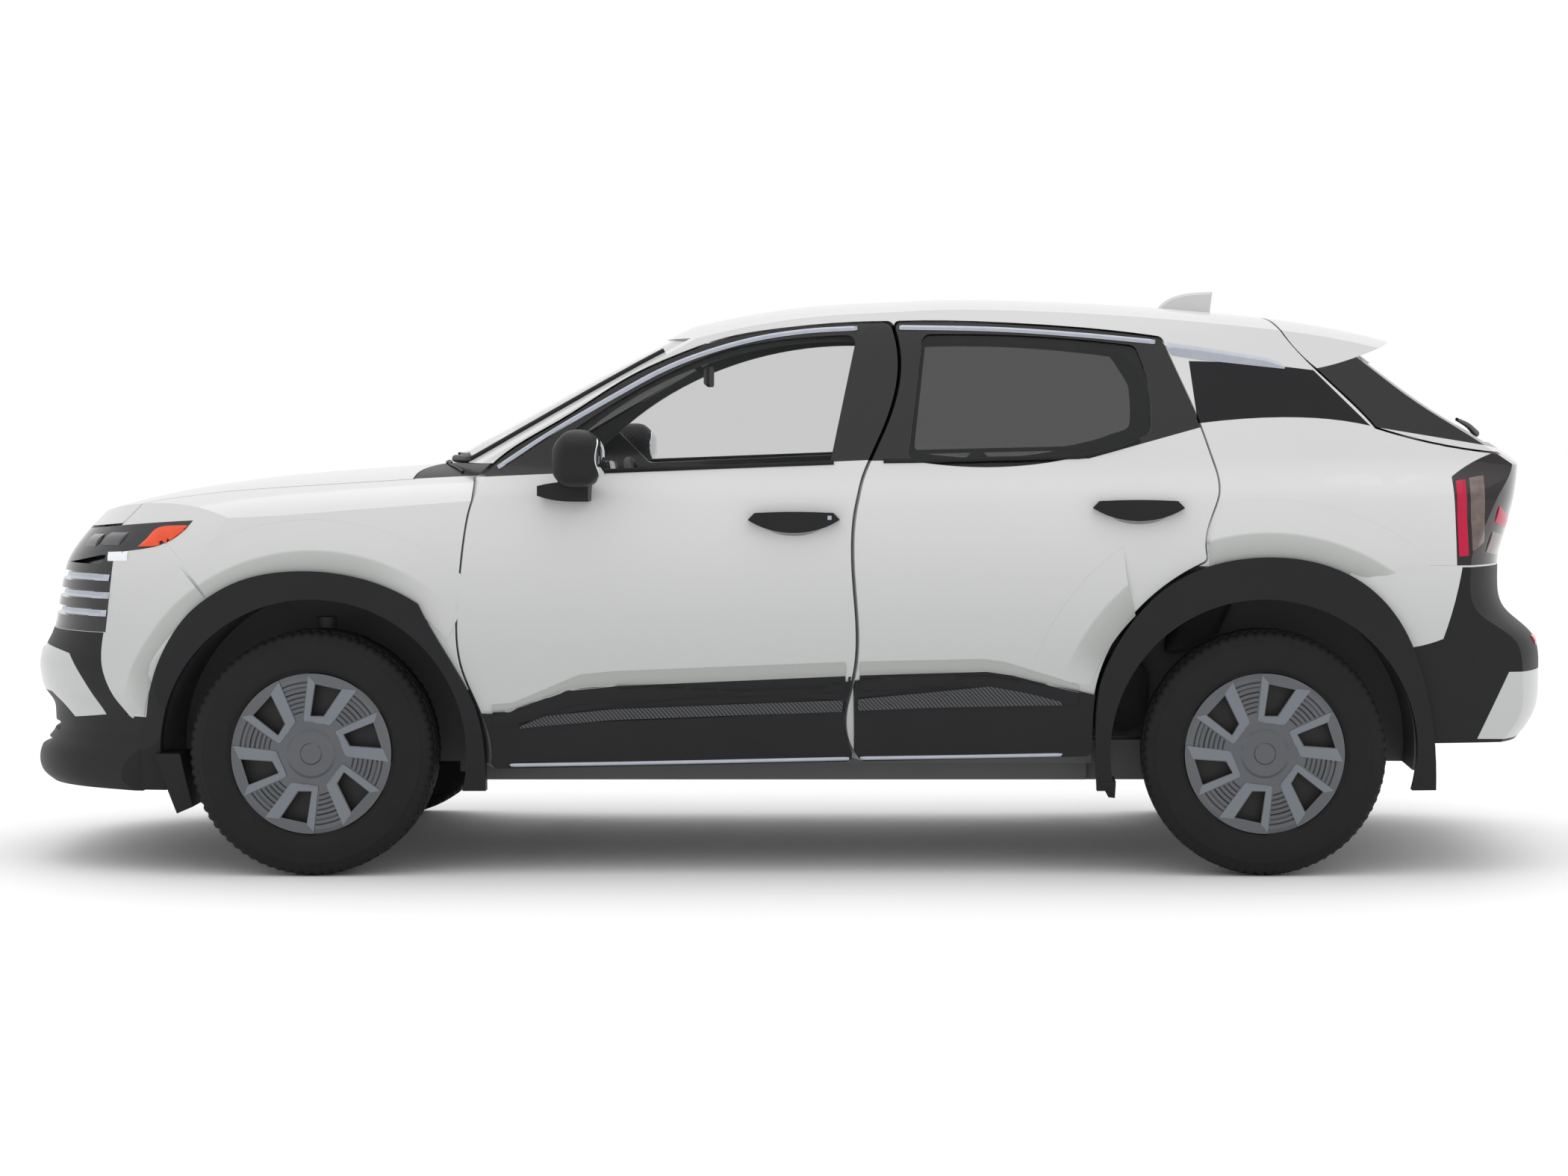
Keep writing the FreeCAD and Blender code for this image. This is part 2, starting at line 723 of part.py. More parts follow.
def layer(outer_stand, inner_stand):
    """Left skin layer between two distances outside the body skin."""
    return skin.translated(left_outward * outer_stand).extrude(across * (outer_stand - inner_stand))


# Windscreen and rear window, as seen from the front
screen_low_share = 0.725
screen_high_share = 0.645
screen_base_share = 2.0
screen_head_share = 2.745
screen_start_share = -0.05
screen_end_share = 0.50
rear_window_low_share = 0.70
rear_window_high_share = 0.62
rear_window_base_share = 2.11
rear_window_head_share = 2.60
rear_window_start_share = 1.10
rear_window_end_share = 2.10


def glass_prism(low, high, base_z, head_z, start_x, end_x, extra):
    """Space of a pane that narrows upward, as seen along the car."""
    points = [(-low, base_z), (-high, head_z), (high, head_z), (low, base_z)]
    return front_prism(grown(points, extra), start_x, end_x)


def screen_prism(extra):
    return glass_prism(half_width * screen_low_share, half_width * screen_high_share,
                       up(screen_base_share), up(screen_head_share),
                       along(screen_start_share), along(screen_end_share), extra)


def rear_window_prism(extra):
    return glass_prism(half_width * rear_window_low_share, half_width * rear_window_high_share,
                       up(rear_window_base_share), up(rear_window_head_share),
                       along(rear_window_start_share), along(rear_window_end_share), extra)


def sunk(face, depth, thickness):
    """Layer that lies a small depth under an upper face."""
    return face.translated(upward * -depth).extrude(upward * -thickness)


windscreen = sunk(screen_face, glass_depth, glass_thickness).common(screen_prism(0)).common(flanks)
rear_window = sunk(rear_face, glass_depth, glass_thickness).common(rear_window_prism(0))
rear_window = rear_window.common(flanks)

# Tailgate: everything behind its side cut, and between the lamps down to the bumper
gate_start_share = 1.50
gate_end_share = 2.10
gate_low_share = 1.692
gate_high_share = 2.065
band_top_share = 1.684
gate_low = up(gate_low_share)
lower_tail = slab(gate_start_share, gate_end_share, tailgate_half, gate_low, up(gate_high_share))
tail_region = through_prism(tail_line).fuse(lower_tail)
lower_tail_space = slab(gate_start_share, gate_end_share, tail_lamp_inner, gate_low - panel_gap,
                        up(gate_high_share))
tail_space = through_prism(grown(tail_line, panel_gap)).fuse(lower_tail_space)
roof_spoiler = through_prism(spoiler_line).common(roof_top).common(flanks)
spoiler_space = through_prism(grown(spoiler_line, seat_gap))
gate_fore_share = 1.20
gate_fore_cut = slab(1, gate_fore_share, half_width, belt_height, roof_height)
gate_under_cut = slab(gate_fore_share, gate_end_share, half_width, 0, gate_low)
# Shallow recess with straight sides, below the rear glass
recess_half_share = 0.30
recess_low_share = 1.79
recess_high_share = 1.925
recess_depth = 14.0
recess = slab(gate_start_share, gate_end_share, half_width * recess_half_share,
              up(recess_low_share), up(recess_high_share))
recess = recess.cut(tail.translated(forward * -recess_depth))
tailgate = main_shell.common(tail_region)
tailgate = tailgate.cut([spoiler_space, rear_window_prism(seat_gap), gate_fore_cut, gate_under_cut])
tailgate = tailgate.cut(recess)

# Roof, pillars and rear quarters
pillar_start_share = 0.21
quarter_start_share = 0.95
quarter_low_share = 1.12
rear_band_start_share = 0.80
fore_cut_share = -0.10
lamp_seats_rear = side_pair(grown(tail_lamp_line, seat_gap), tail_lamp_inner - seat_gap)
rear_arch_seats = side_pair(grown(rear_arch_line, seat_gap), panel_inner)
ring_cutters = list(door_spaces)
ring_cutters += [tail_space, screen_prism(seat_gap)]
ring_cutters.append(slab(fore_cut_share, pillar_start_share, half_width, 0, belt_height))
ring_cutters.append(slab(fore_cut_share, quarter_start_share, half_width, 0, up(quarter_low_share)))
ring_cutters.append(slab(rear_band_start_share, gate_end_share, half_width, 0, up(band_top_share)))
ring_cutters.append(slab(gate_start_share, gate_end_share, tail_lamp_inner, 0, gate_low))
ring_cutters += lamp_seats_rear + rear_arch_seats
ring_cutters += side_pair(grown(quarter_line, seat_gap), panel_inner)
ring = main_shell.cut(ring_cutters)
roof_panel_share = 0.61
roof_panel_low_share = 2.62
roof_start_cut_share = 0.10
roof_end_cut_share = 1.60
roof_panel_half = half_width * roof_panel_share
roof_box = slab(roof_start_cut_share, roof_end_cut_share, roof_panel_half,
                up(roof_panel_low_share), roof_height)
roof_space = slab(roof_start_cut_share, roof_end_cut_share, roof_panel_half + seat_gap,
                  up(roof_panel_low_share) - seat_gap, roof_height)
roof_panel = ring.common(roof_box)
body_sides = ring.cut(roof_space)
quarter_left = main_shell.common(side_prism(quarter_line, panel_inner))
quarter_trims = both(quarter_left.cut([tail_space, rear_door_space]))
lamp_left = main_shell.common(side_prism(tail_lamp_line, tail_lamp_inner))
tail_lamps = both(lamp_left.cut(tail_space))

# Fin on the roof
fin_thickness = 34.0
fin_round = 7.0
fin = side_prism(placed(fin_shares), -fin_thickness / 2, fin_thickness / 2)
fin = fin.makeChamfer(fin_round, [edge for edge in fin.Edges if edge.BoundBox.YLength < seat_gap
                                  and edge.BoundBox.ZMax > roof_height])
roof_fin = fin.cut(roof_top.translated(upward * seat_gap))
print("upper panels", flush=True)

# Bonnet, wings, cowl and front bumper
shut_front_share = 0.705
shut_middle_share = 0.755
shut_rear_share = 0.775
shut_taper_share = 0.94
shut_middle_place_share = -0.20
shut_front_place_share = -0.62
bonnet_rear_share = 0.097
bonnet_low_share = 1.686
corner_top_share = 1.765
corner_end_share = -0.55
bonnet_rear_x = along(bonnet_rear_share)
bonnet_low = up(bonnet_low_share)
corner_top = up(corner_top_share)
shut_rear = half_width * shut_rear_share


def bonnet_region(extra):
    """Space of the bonnet without the corners that stand in front of the lamps."""
    half = [
        (front_limit, half_width * shut_front_share * shut_taper_share),
        (along(shut_front_place_share), half_width * shut_front_share),
        (along(shut_middle_place_share), half_width * shut_middle_share),
        (bonnet_rear_x, shut_rear),
    ]
    left = [(x, -y) for x, y in half]
    plan = plan_prism(grown(left + half[::-1], extra), bonnet_low - extra, roof_height)
    corner = box((front_limit, -half_width, 0),
                 (along(corner_end_share), -lamp_inner + panel_gap - extra, corner_top - extra))
    return plan.cut([corner, mirrored(corner)])


headlamp_spaces = side_pair(grown(headlamp_line, panel_gap), lamp_inner - panel_gap)
bonnet = front_shell.common(bonnet_region(0)).cut(headlamp_spaces)
bonnet_space = bonnet_region(panel_gap)
cowl_end_share = 0.17
cowl_low_share = 1.85
cowl_space_end_share = 0.25
cowl_space_top_share = 2.1
cowl_start = bonnet_rear_x + panel_gap
cowl_low = up(cowl_low_share)
cowl = front_shell.common(box((cowl_start, -shut_rear, cowl_low),
                              (along(cowl_end_share), shut_rear, belt_height)))
cowl = cowl.cut(door_spaces)
cowl_space = box((cowl_start - seat_gap, -shut_rear - seat_gap, cowl_low - seat_gap),
                 (along(cowl_space_end_share), shut_rear + seat_gap, up(cowl_space_top_share)))
lamp_seats = side_pair(grown(headlamp_line, seat_gap), lamp_inner - seat_gap)
front_arch_seats = side_pair(grown(front_arch_line, seat_gap), panel_inner)
fender_end_share = 0.196
fender_tail_share = 0.40
fender_low_share = 1.30
fender_inner_share = 0.60
fender_nose_share = -0.20
fender_nose_low_share = 1.42
fender_tail_x = along(fender_tail_share)
fender_inner = half_width * fender_inner_share
fender_cutters = [bonnet_space, cowl_space, through_prism(grown(fender_front_line, seat_gap))]
fender_cutters += lamp_seats + front_arch_seats + [door_spaces[0], door_spaces[2]]
fender_cutters.append(slab(fender_end_share, fender_tail_share, half_width, 0, roof_height))
fender_cutters.append(box((front_limit, -half_width, -seat_gap),
                          (fender_tail_x, half_width, up(fender_low_share))))
fender_cutters.append(box((front_limit, -fender_inner, 0), (fender_tail_x, fender_inner, roof_height)))
fender_cutters.append(box((front_limit, -half_width, 0),
                          (along(fender_nose_share), half_width, up(fender_nose_low_share))))
front_fenders = front_shell.cut(fender_cutters)
lamp_body = front_body.cut(front_core.translated(forward * panel_thickness))
headlamps = both(lamp_body.common(side_prism(headlamp_line, lamp_inner)))
lower_space = through_prism(grown(front_lower_line, seat_gap))
chin_space = through_prism(grown(chin_line, seat_gap))
bumper_low_share = 1.2
bumper_floor_share = 1.209
bumper_top_share = 1.40
bumper_end_share = -0.26
bumper_cutters = [bonnet_space, through_prism(grown(grille_line, seat_gap)), lower_space]
bumper_cutters += lamp_seats + front_arch_seats
bumper_cutters.append(box((front_limit, -half_width, 0),
                          (fender_tail_x, half_width, up(bumper_floor_share))))
bumper_band = box((front_limit, -half_width, up(bumper_low_share)),
                  (along(bumper_end_share), half_width, up(bumper_top_share)))
front_bumper = front_shell.common(through_prism(fender_front_line).fuse(bumper_band))
front_bumper = front_bumper.cut(bumper_cutters)

# Grille with four level slots, cut between the slats
slot_depth = 20.0
slot_height = 26.0
slot_pitch = 50.0
slot_count = 4
slot_half_share = 0.74
slot_low_share = 1.512
slot_half = half_width * slot_half_share
slot_floor = end_block(nose_at, slot_depth, 1, up(nose_top_share))


def slots(low_z, height, pitch, count, half):
    """Level slots of one depth in the nose, from the lowest upward."""
    result = []
    for number in range(count):
        low = low_z + pitch * number
        band = box((front_limit, -half, low), (front_axle_x, half, low + height))
        result.append(band.cut(slot_floor))
    return result


grille = front_shell.common(through_prism(grille_line)).cut(lamp_seats + [bonnet_space])
grille = grille.cut(slots(up(slot_low_share), slot_height, slot_pitch, slot_count, slot_half))
under_share = 0.92
underside = box((front_limit, -half_width, 0), (rear_limit, half_width, up(under_share)))
intake_low_share = 1.085
intake_half_share = 0.56
intake_count = 2
front_bumper_lower = front_shell.common(through_prism(front_lower_line))
front_bumper_lower = front_bumper_lower.cut(front_arch_seats + [chin_space, underside])
front_bumper_lower = front_bumper_lower.cut(slots(up(intake_low_share), slot_height, slot_pitch,
                                                  intake_count, half_width * intake_half_share))
front_bumper_chin = front_shell.common(through_prism(chin_line)).cut(underside)
print("front panels", flush=True)

# Rear bumper: painted corners, dark shelf and pale accent
rear_lower_space = through_prism(grown(rear_lower_line, seat_gap))
rear_low_share = 1.13
rear_low_start_share = 0.5
rear_shelf_share = 1.2
rear_band = slab(1, gate_end_share, half_width, up(rear_shelf_share), up(band_top_share) - seat_gap)
rear_bumper = main_shell.common(rear_band).cut([rear_lower_space] + rear_arch_seats)
rear_low_cut = slab(rear_low_start_share, gate_end_share, half_width, 0, up(rear_low_share))
rear_bumper_lower = main_shell.common(through_prism(rear_lower_line))
rear_bumper_lower = rear_bumper_lower.common(slab(rear_shelf_share, gate_end_share, half_width, 0,
                                                  up(band_top_share) - seat_gap))
accent_space = through_prism(grown(rear_accent_line, seat_gap))
rear_bumper_lower = rear_bumper_lower.cut(rear_arch_seats + [rear_low_cut, accent_space])
rear_bumper_accent = main_shell.common(through_prism(rear_accent_line))
rear_bumper_accent = rear_bumper_accent.cut(rear_arch_seats + [rear_low_cut])

# Dark cladding round the wheel arches
arch_layer = layer(arch_stand, -cladding_depth)
arch_nose = nose.translated(forward * -arch_stand)
arch_low_share = 0.94
clearance = box((nose_x, -body_width, up(arch_low_share)), (tail_x, 0, roof_height))
front_hole = cylinder(arch_radius, body_width, front_axle_x, -body_width, tyre_radius)
rear_hole = cylinder(arch_radius, body_width, rear_axle_x, -body_width, tyre_radius)
front_arch = arch_layer.common(side_prism(front_arch_line)).cut(front_hole).common(arch_nose)
front_arch = front_arch.common(clearance).cut(front_door_space)
rear_arch = arch_layer.common(side_prism(rear_arch_line)).cut(rear_hole).common(clearance)
rear_arch = rear_arch.cut(rear_door_space)
print("claddings", flush=True)

# Door handles: a bowed bar on two feet over a scoop in the door
handle_length = 256.0
handle_height = 36.0
handle_stand = 32.0
handle_bar_thickness = 15.0
handle_foot_length = 34.0
handle_drop = 152.0
handle_step = 33.0
scoop_length = 190.0
scoop_height = 78.0
scoop_depth = 17.0
scoop_drop = 12.0
front_handle_share = 0.506
rear_handle_share = 0.868
front_handle_x = along(front_handle_share)
rear_handle_x = along(rear_handle_share)
front_handle_z = belt_height - handle_drop
rear_handle_z = front_handle_z + handle_step


def handle_at(centre_x, centre_z):
    points = [(centre_x + handle_length * first, centre_z + handle_height * second)
              for first, second in handle_bar_shares]
    outline = side_prism(points)
    bar = layer(handle_stand, handle_stand - handle_bar_thickness).common(outline)
    feet = layer(handle_stand - handle_bar_thickness, seat_gap).common(outline)
    middle = handle_length / 2 - handle_foot_length
    gap = box((centre_x - middle, -body_width, centre_z - handle_height),
              (centre_x + middle, 0, centre_z + handle_height))
    return bar.fuse(feet.cut(gap))


def scoop_at(centre_x, centre_z):
    """Hollow in the door skin for the fingers, part of an egg-shaped ball."""
    scale = FreeCAD.Matrix()
    scale.scale(scoop_length / 2, scoop_depth * 2, scoop_height / 2)
    ball = Part.makeSphere(1).transformGeometry(scale)
    low_z = centre_z - scoop_drop
    return ball.translated(vec(centre_x, -side_at(centre_x, low_z) - scoop_depth, low_z))


front_handle = handle_at(front_handle_x, front_handle_z)
rear_handle = handle_at(rear_handle_x, rear_handle_z)

# Doors with their panes and claddings
front_glass_line = placed(front_window_shares)
rear_glass_line = placed(rear_window_opening_shares)
front_hole_prism = side_prism(front_glass_line, panel_inner, None, window_corner_radius)
rear_hole_prism = side_prism(rear_glass_line, panel_inner, None, window_corner_radius)
front_door_prism = leaning_prism(front_door_line, door_corner_radius)
rear_door_prism = leaning_prism(rear_door_line, door_corner_radius)
front_door = door_wall.common(front_door_prism)
front_door = front_door.cut([front_hole_prism, scoop_at(front_handle_x, front_handle_z)])
rear_door = door_wall.common(rear_door_prism)
rear_door = rear_door.cut([rear_hole_prism, scoop_at(rear_handle_x, rear_handle_z)])
pane_layer = layer(-glass_depth, -glass_depth - glass_thickness)
front_pane = pane_layer.common(side_prism(grown(front_glass_line, -seat_gap), panel_inner, None,
                                          window_corner_radius))
rear_pane = pane_layer.common(side_prism(grown(rear_glass_line, -seat_gap), panel_inner, None,
                                         window_corner_radius))
cladding_layer = layer(cladding_stand, seat_gap)
groove_layer = layer(cladding_stand * 2, cladding_stand - groove_depth)
front_groove = groove_layer.common(side_prism(placed(front_groove_shares)))
rear_groove = groove_layer.common(side_prism(placed(rear_groove_shares)))
front_cladding = cladding_layer.common(leaning_prism(placed(door_cladding_shares)))
front_cladding = front_cladding.common(front_door_prism).cut(front_groove)
rear_cladding = cladding_layer.common(leaning_prism(placed(rear_door_cladding_shares)))
rear_cladding = rear_cladding.common(rear_door_prism).cut(rear_groove)

# Outside mirrors
mirror_depth = 142.0
mirror_width = 195.0
mirror_height = 160.0
mirror_round = 42.0
mirror_reach = 165.0
mirror_arm_height = 45.0
mirror_share = 0.256
mirror_low_share = 1.93
arm_inner_share = 0.70
arm_step_share = 0.60
arm_drop_share = 0.90
arm_rise_share = 0.30
mirror_x = along(mirror_share)
mirror_low_z = up(mirror_low_share)
mirror_outer = half_width + mirror_reach
housing = box((mirror_x, -mirror_outer, mirror_low_z),
              (mirror_x + mirror_depth, -mirror_outer + mirror_width, mirror_low_z + mirror_height))
housing = housing.makeFillet(mirror_round, housing.Edges)
arm_start = mirror_x - mirror_arm_height
arm = box((arm_start, -mirror_outer + mirror_width * arm_step_share,
           mirror_low_z - mirror_arm_height * arm_drop_share),
          (arm_start + mirror_depth, -half_width * arm_inner_share,
           mirror_low_z + mirror_arm_height * arm_rise_share))
mirror_piece = housing.fuse(arm).cut(flanks.translated(left_outward * seat_gap))
front_door_trim = Part.makeCompound(solids_of(front_cladding) + solids_of(front_handle)
                                    + solids_of(mirror_piece)[:1])
rear_door_trim = Part.makeCompound(solids_of(rear_cladding) + solids_of(rear_handle))
print("doors", flush=True)

# Welded frame: floor, sills, wheel houses, bulkhead and front rails
ring_depth = 35.0
sill_width = 110.0
sill_rise = 120.0
floor_thickness = 30.0
board_thickness = 10.0
rail_width = 60.0
rail_height = 120.0
bulkhead_thickness = 25.0
liner_inner_share = 0.47
rail_inner_share = 0.385
sill_outer_share = 0.745
floor_start_share = 0.135
floor_end_share = 0.815
heel_share = 0.905
boot_end_share = 1.73
boot_back_share = 1.69
boot_level_share = 1.30
boot_back_top_share = 1.72
boot_back_half_share = 0.56
gate_stop_place_share = 0.33
boot_half_share = 0.785
board_half_share = 0.44
board_start_share = 1.22
board_end_share = 1.66
bulkhead_half_share = 0.70
rail_start_share = -0.74
rail_low_share = 1.06
liner_inner = half_width * liner_inner_share
rail_inner = half_width * rail_inner_share
sill_outer = half_width * sill_outer_share
floor_start = along(floor_start_share)
floor_end = along(floor_end_share)
heel_x = along(heel_share)
heel_half = liner_inner - panel_gap * 3
boot_half = half_width * boot_half_share
boot_level = up(boot_level_share)
floor_top = sill_height + floor_thickness
bulkhead_half = half_width * bulkhead_half_share
rail_low = up(rail_low_share)
sill = box((floor_start, -sill_outer, sill_height),
           (floor_end, -sill_outer + sill_width, sill_height + sill_rise))
floor = box((floor_start, -sill_outer, sill_height), (floor_end, sill_outer, floor_top))
boot_floor = box((heel_x - floor_thickness, -boot_half, boot_level),
                 (along(boot_end_share), boot_half, boot_level + floor_thickness))
board_half = half_width * board_half_share
boot_board = slab(board_start_share, board_end_share, board_half, boot_level,
                  boot_level + floor_thickness + board_thickness)
heel = box((heel_x - floor_thickness, -heel_half, sill_height), (heel_x, heel_half, boot_level))
foot_well = box((floor_end, -heel_half, sill_height), (heel_x, heel_half, floor_top))
boot_back_top = up(boot_back_top_share)
boot_back = slab(boot_back_share, boot_end_share, half_width * boot_back_half_share, boot_level,
                 boot_back_top)
bulkhead = box((floor_start, -bulkhead_half, sill_height),
               (floor_start + bulkhead_thickness, bulkhead_half, roof_height))
bulkhead = bulkhead.common(inner_bonnet_top.translated(upward * -seat_gap))
rail = box((along(rail_start_share), -rail_inner - rail_width, rail_low),
           (floor_start, -rail_inner, rail_low + rail_height))
front_liner_zone = side_face(cladding_depth + liner_thickness, 0).extrude(across * half_width)
rear_liner_zone = side_face(liner_thickness, 1).extrude(across * half_width)
liner_radius = arch_radius + liner_thickness * 2
tunnel_radius = arch_radius + liner_thickness
tunnel_width = half_width - liner_inner - liner_thickness


def tunnel(axle_x):
    return cylinder(tunnel_radius, tunnel_width, axle_x, -half_width, tyre_radius)


def liner(axle_x, zone):
    """Wheel house: a round shell and its inner wall, open toward the wheel and the road."""
    outer = cylinder(liner_radius, half_width - liner_inner, axle_x, -half_width, tyre_radius)
    keep = box((axle_x - reach, -body_width, floor_top), (axle_x + reach, 0, roof_height))
    return outer.cut(tunnel(axle_x)).common(keep).common(zone).cut([front_door_space, rear_door_space])


front_liner = liner(front_axle_x, front_liner_zone)
rear_liner = liner(rear_axle_x, rear_liner_zone)
left_half = sill.fuse([rail, front_liner, rear_liner])
welded = left_half.fuse([mirrored(left_half), floor, boot_floor, boot_board, heel, foot_well,
                         boot_back, bulkhead])
tunnels = [tunnel(front_axle_x), tunnel(rear_axle_x)]
tunnels += [mirrored(item) for item in tunnels]
welded = welded.cut(tunnels)

# Rubber stops that carry the bonnet and the tailgate
stop_radius = 14.0
gate_stop_y = half_width * gate_stop_place_share
gate_stop_z = boot_back_top - stop_radius
stop_places_share = (-0.60, -0.42)
stop_top = inner_bonnet_top.translated(upward * -seat_gap)
stop_start_z = rail_low + rail_height / 2
stops = []
for place in stop_places_share:
    base = vec(along(place), -rail_inner - rail_width / 2, stop_start_z)
    stop = Part.makeCylinder(stop_radius, roof_height - stop_start_z, base, upward)
    stops.append(stop.common(stop_top))
    stops.append(mirrored(stops[-1]))
gate_stop = Part.makeCylinder(stop_radius, tail_x, vec(along(boot_back_share), -gate_stop_y, gate_stop_z),
                              forward)
gate_stop = gate_stop.common(inner_tail.translated(forward * -seat_gap))
stops += [gate_stop, mirrored(gate_stop)]
arm_room = tyre_radius + panel_gap * 5
arm_space = box((floor_end + seat_gap, -half_width, 0),
                (rear_axle_x + hub_radius + panel_gap, -liner_inner + liner_thickness * 2, arm_room))
body_frame = welded.fuse(stops).cut([arm_space, mirrored(arm_space)])
print("frame", len(body_frame.Solids), flush=True)

# Inner door rings, which carry the hinges and the seals
ring_low_share = 0.5
ring_high_share = 1.5
ring_outline = side_prism(placed(inner_ring_shares), panel_inner)
ring_holes = [side_prism(placed(inner_front_opening_shares)),
              side_prism(placed(inner_rear_opening_shares))]
inner_ring = side_face(ring_gap, 1).extrude(across * ring_depth).common(ring_outline).cut(ring_holes)
ring_roof = slab(ring_low_share, ring_high_share, half_width, 0, roof_height)
screen_space = screen_top.translated(upward * (-frame_thickness - panel_gap * 2)).fuse(ring_roof)
inner_ring = inner_ring.common(roof_inner.translated(upward * -seat_gap)).common(screen_space)
sill_space = box((floor_start - seat_gap, -sill_outer - seat_gap, 0),
                 (floor_end + seat_gap, 0, sill_height + sill_rise + seat_gap))
bulkhead_room = box((floor_start - seat_gap, -bulkhead_half - seat_gap, 0),
                    (floor_start + bulkhead_thickness + seat_gap, 0, belt_height))
house_space = cylinder(liner_radius + seat_gap, half_width, rear_axle_x, -half_width, tyre_radius)
front_house_space = cylinder(liner_radius + seat_gap, half_width, front_axle_x, -half_width, tyre_radius)
boot_room = box((heel_x - floor_thickness - seat_gap, -boot_half - seat_gap, boot_level - seat_gap),
                (tail_x, 0, boot_level + floor_thickness + seat_gap))
# Rubber pads on the rings, on which the closed doors rest
pad_side = 26.0
pad_places_share = (0.50, 0.775)
pad_height_share = 1.125
pad_zone = side_face(seat_gap, 1).extrude(across * (ring_gap + ring_depth / 2))
pad_z = up(pad_height_share)
pads = []
for place in pad_places_share:
    pad_x = along(place)
    pads.append(pad_zone.common(box((pad_x, -half_width, pad_z - pad_side / 2),
                                    (pad_x + pad_side, 0, pad_z + pad_side / 2))))
inner_ring = inner_ring.cut([sill_space, bulkhead_room, house_space, front_house_space, boot_room])
door_rings = both(inner_ring.fuse(pads))
print("rings", len(door_rings.Solids), flush=True)

# Cabin
seat_foot = 60.0
seat_inner_share = 0.12
seat_outer_share = 0.60
bench_outer_share = 0.612
dashboard_half_share = 0.67
driver_share = 0.36
foot_start_share = 0.48
foot_end_share = 0.62
foot_top_share = 1.28
bench_foot_start_share = 0.78
bench_foot_end_share = 0.82
bench_foot_top_share = 1.25
bench_foot_half_share = 0.54
seat_inner = half_width * seat_inner_share
seat_outer = half_width * seat_outer_share
bench_outer = half_width * bench_outer_share
bench_foot_half = half_width * bench_foot_half_share
dashboard_half = half_width * dashboard_half_share
driver_y = -half_width * driver_share
cabin_low = floor_top + seat_gap
front_seat = side_prism(placed(seat_shares), seat_inner, seat_outer)
front_foot = box((along(foot_start_share), -seat_outer + seat_foot, cabin_low),
                 (along(foot_end_share), -seat_inner - seat_foot, up(foot_top_share)))
front_seats = both(front_seat.fuse(front_foot))
rear_seat = side_prism(placed(bench_shares), -bench_outer, bench_outer)
rear_foot = slab(bench_foot_start_share, bench_foot_end_share, bench_foot_half, cabin_low,
                 up(bench_foot_top_share))
seat_arch = cylinder(liner_radius + liner_thickness, half_width - liner_inner + liner_thickness,
                     rear_axle_x, -half_width, tyre_radius)
rear_seat = rear_seat.fuse(rear_foot).cut([seat_arch, mirrored(seat_arch)])
dashboard = side_prism(placed(dashboard_shares), -dashboard_half, dashboard_half)

# Steering wheel
steering_radius = 185.0
steering_grip = 14.0
column_radius = 24.0
column_length = 170.0
boss_radius = 62.0
boss_depth = 45.0
spoke_width = 34.0
steering_tilt_angle = 25.0
steering_share = 0.345
steering_height_share = 1.81
boss_back_share = 0.70
tilt_angle = 90 - steering_tilt_angle
steering_centre = vec(along(steering_share), driver_y, up(steering_height_share))
rim_ring = Part.makeTorus(steering_radius, steering_grip, zero, upward)
boss = Part.makeCylinder(boss_radius, boss_depth, vec(0, 0, -boss_depth * boss_back_share), upward)
column = Part.makeCylinder(column_radius, column_length, vec(0, 0, -column_length), upward)
spoke = Part.makeBox(spoke_width, steering_radius * 2, steering_grip,
                     vec(-spoke_width / 2, -steering_radius, -steering_grip / 2))
low_spoke = Part.makeBox(steering_radius, spoke_width, steering_grip,
                         vec(0, -spoke_width / 2, -steering_grip / 2))
steering_wheel = rim_ring.fuse([boss, column, spoke, low_spoke])
steering_wheel.rotate(zero, across, tilt_angle)
steering_wheel.translate(steering_centre)
column_bore = Part.makeCylinder(column_radius + running_gap, column_length * 2,
                                vec(0, 0, -column_length * 2), upward)
column_bore.rotate(zero, across, tilt_angle)
column_bore.translate(steering_centre)
bulkhead_space = box((floor_start, -half_width, sill_height),
                     (floor_start + bulkhead_thickness + seat_gap, half_width, belt_height))
dashboard = dashboard.cut([column_bore, bulkhead_space])

# Engine and front suspension
engine_half_share = 0.34
subframe_start_share = -0.22
subframe_end_share = 0.06
subframe_low_share = 0.84
arm_low_share = 0.66
eye_rise_share = 1.30
engine_half = half_width * engine_half_share
engine_block = side_prism(placed(engine_shares), -engine_half, engine_half)
subframe_half = rail_inner - seat_gap
subframe_top = up(engine_shares[0][1]) - seat_gap
subframe = slab(subframe_start_share, subframe_end_share, subframe_half,
                sill_height * subframe_low_share, subframe_top)
arm_radius = 16.0
king_pin_radius = 14.0
eye_radius = 30.0
eye_height = 34.0
arm_low = tyre_radius * arm_low_share
king_pin_y = half_track - king_pin_offset
eye_low = arm_low - eye_height / 2
eye_place = vec(front_axle_x, -king_pin_y, eye_low)
eye = Part.makeCylinder(eye_radius, eye_height, eye_place, upward)
eye_bore = Part.makeCylinder(king_pin_radius + running_gap, eye_height * 3,
                             eye_place - upward * eye_height, upward)
front_arm = Part.makeCylinder(arm_radius, king_pin_y - subframe_half + arm_radius,
                              vec(front_axle_x, -king_pin_y, arm_low), across)
front_arm = front_arm.fuse(eye).cut(eye_bore)
front_suspension = subframe.fuse([front_arm, mirrored(front_arm)])

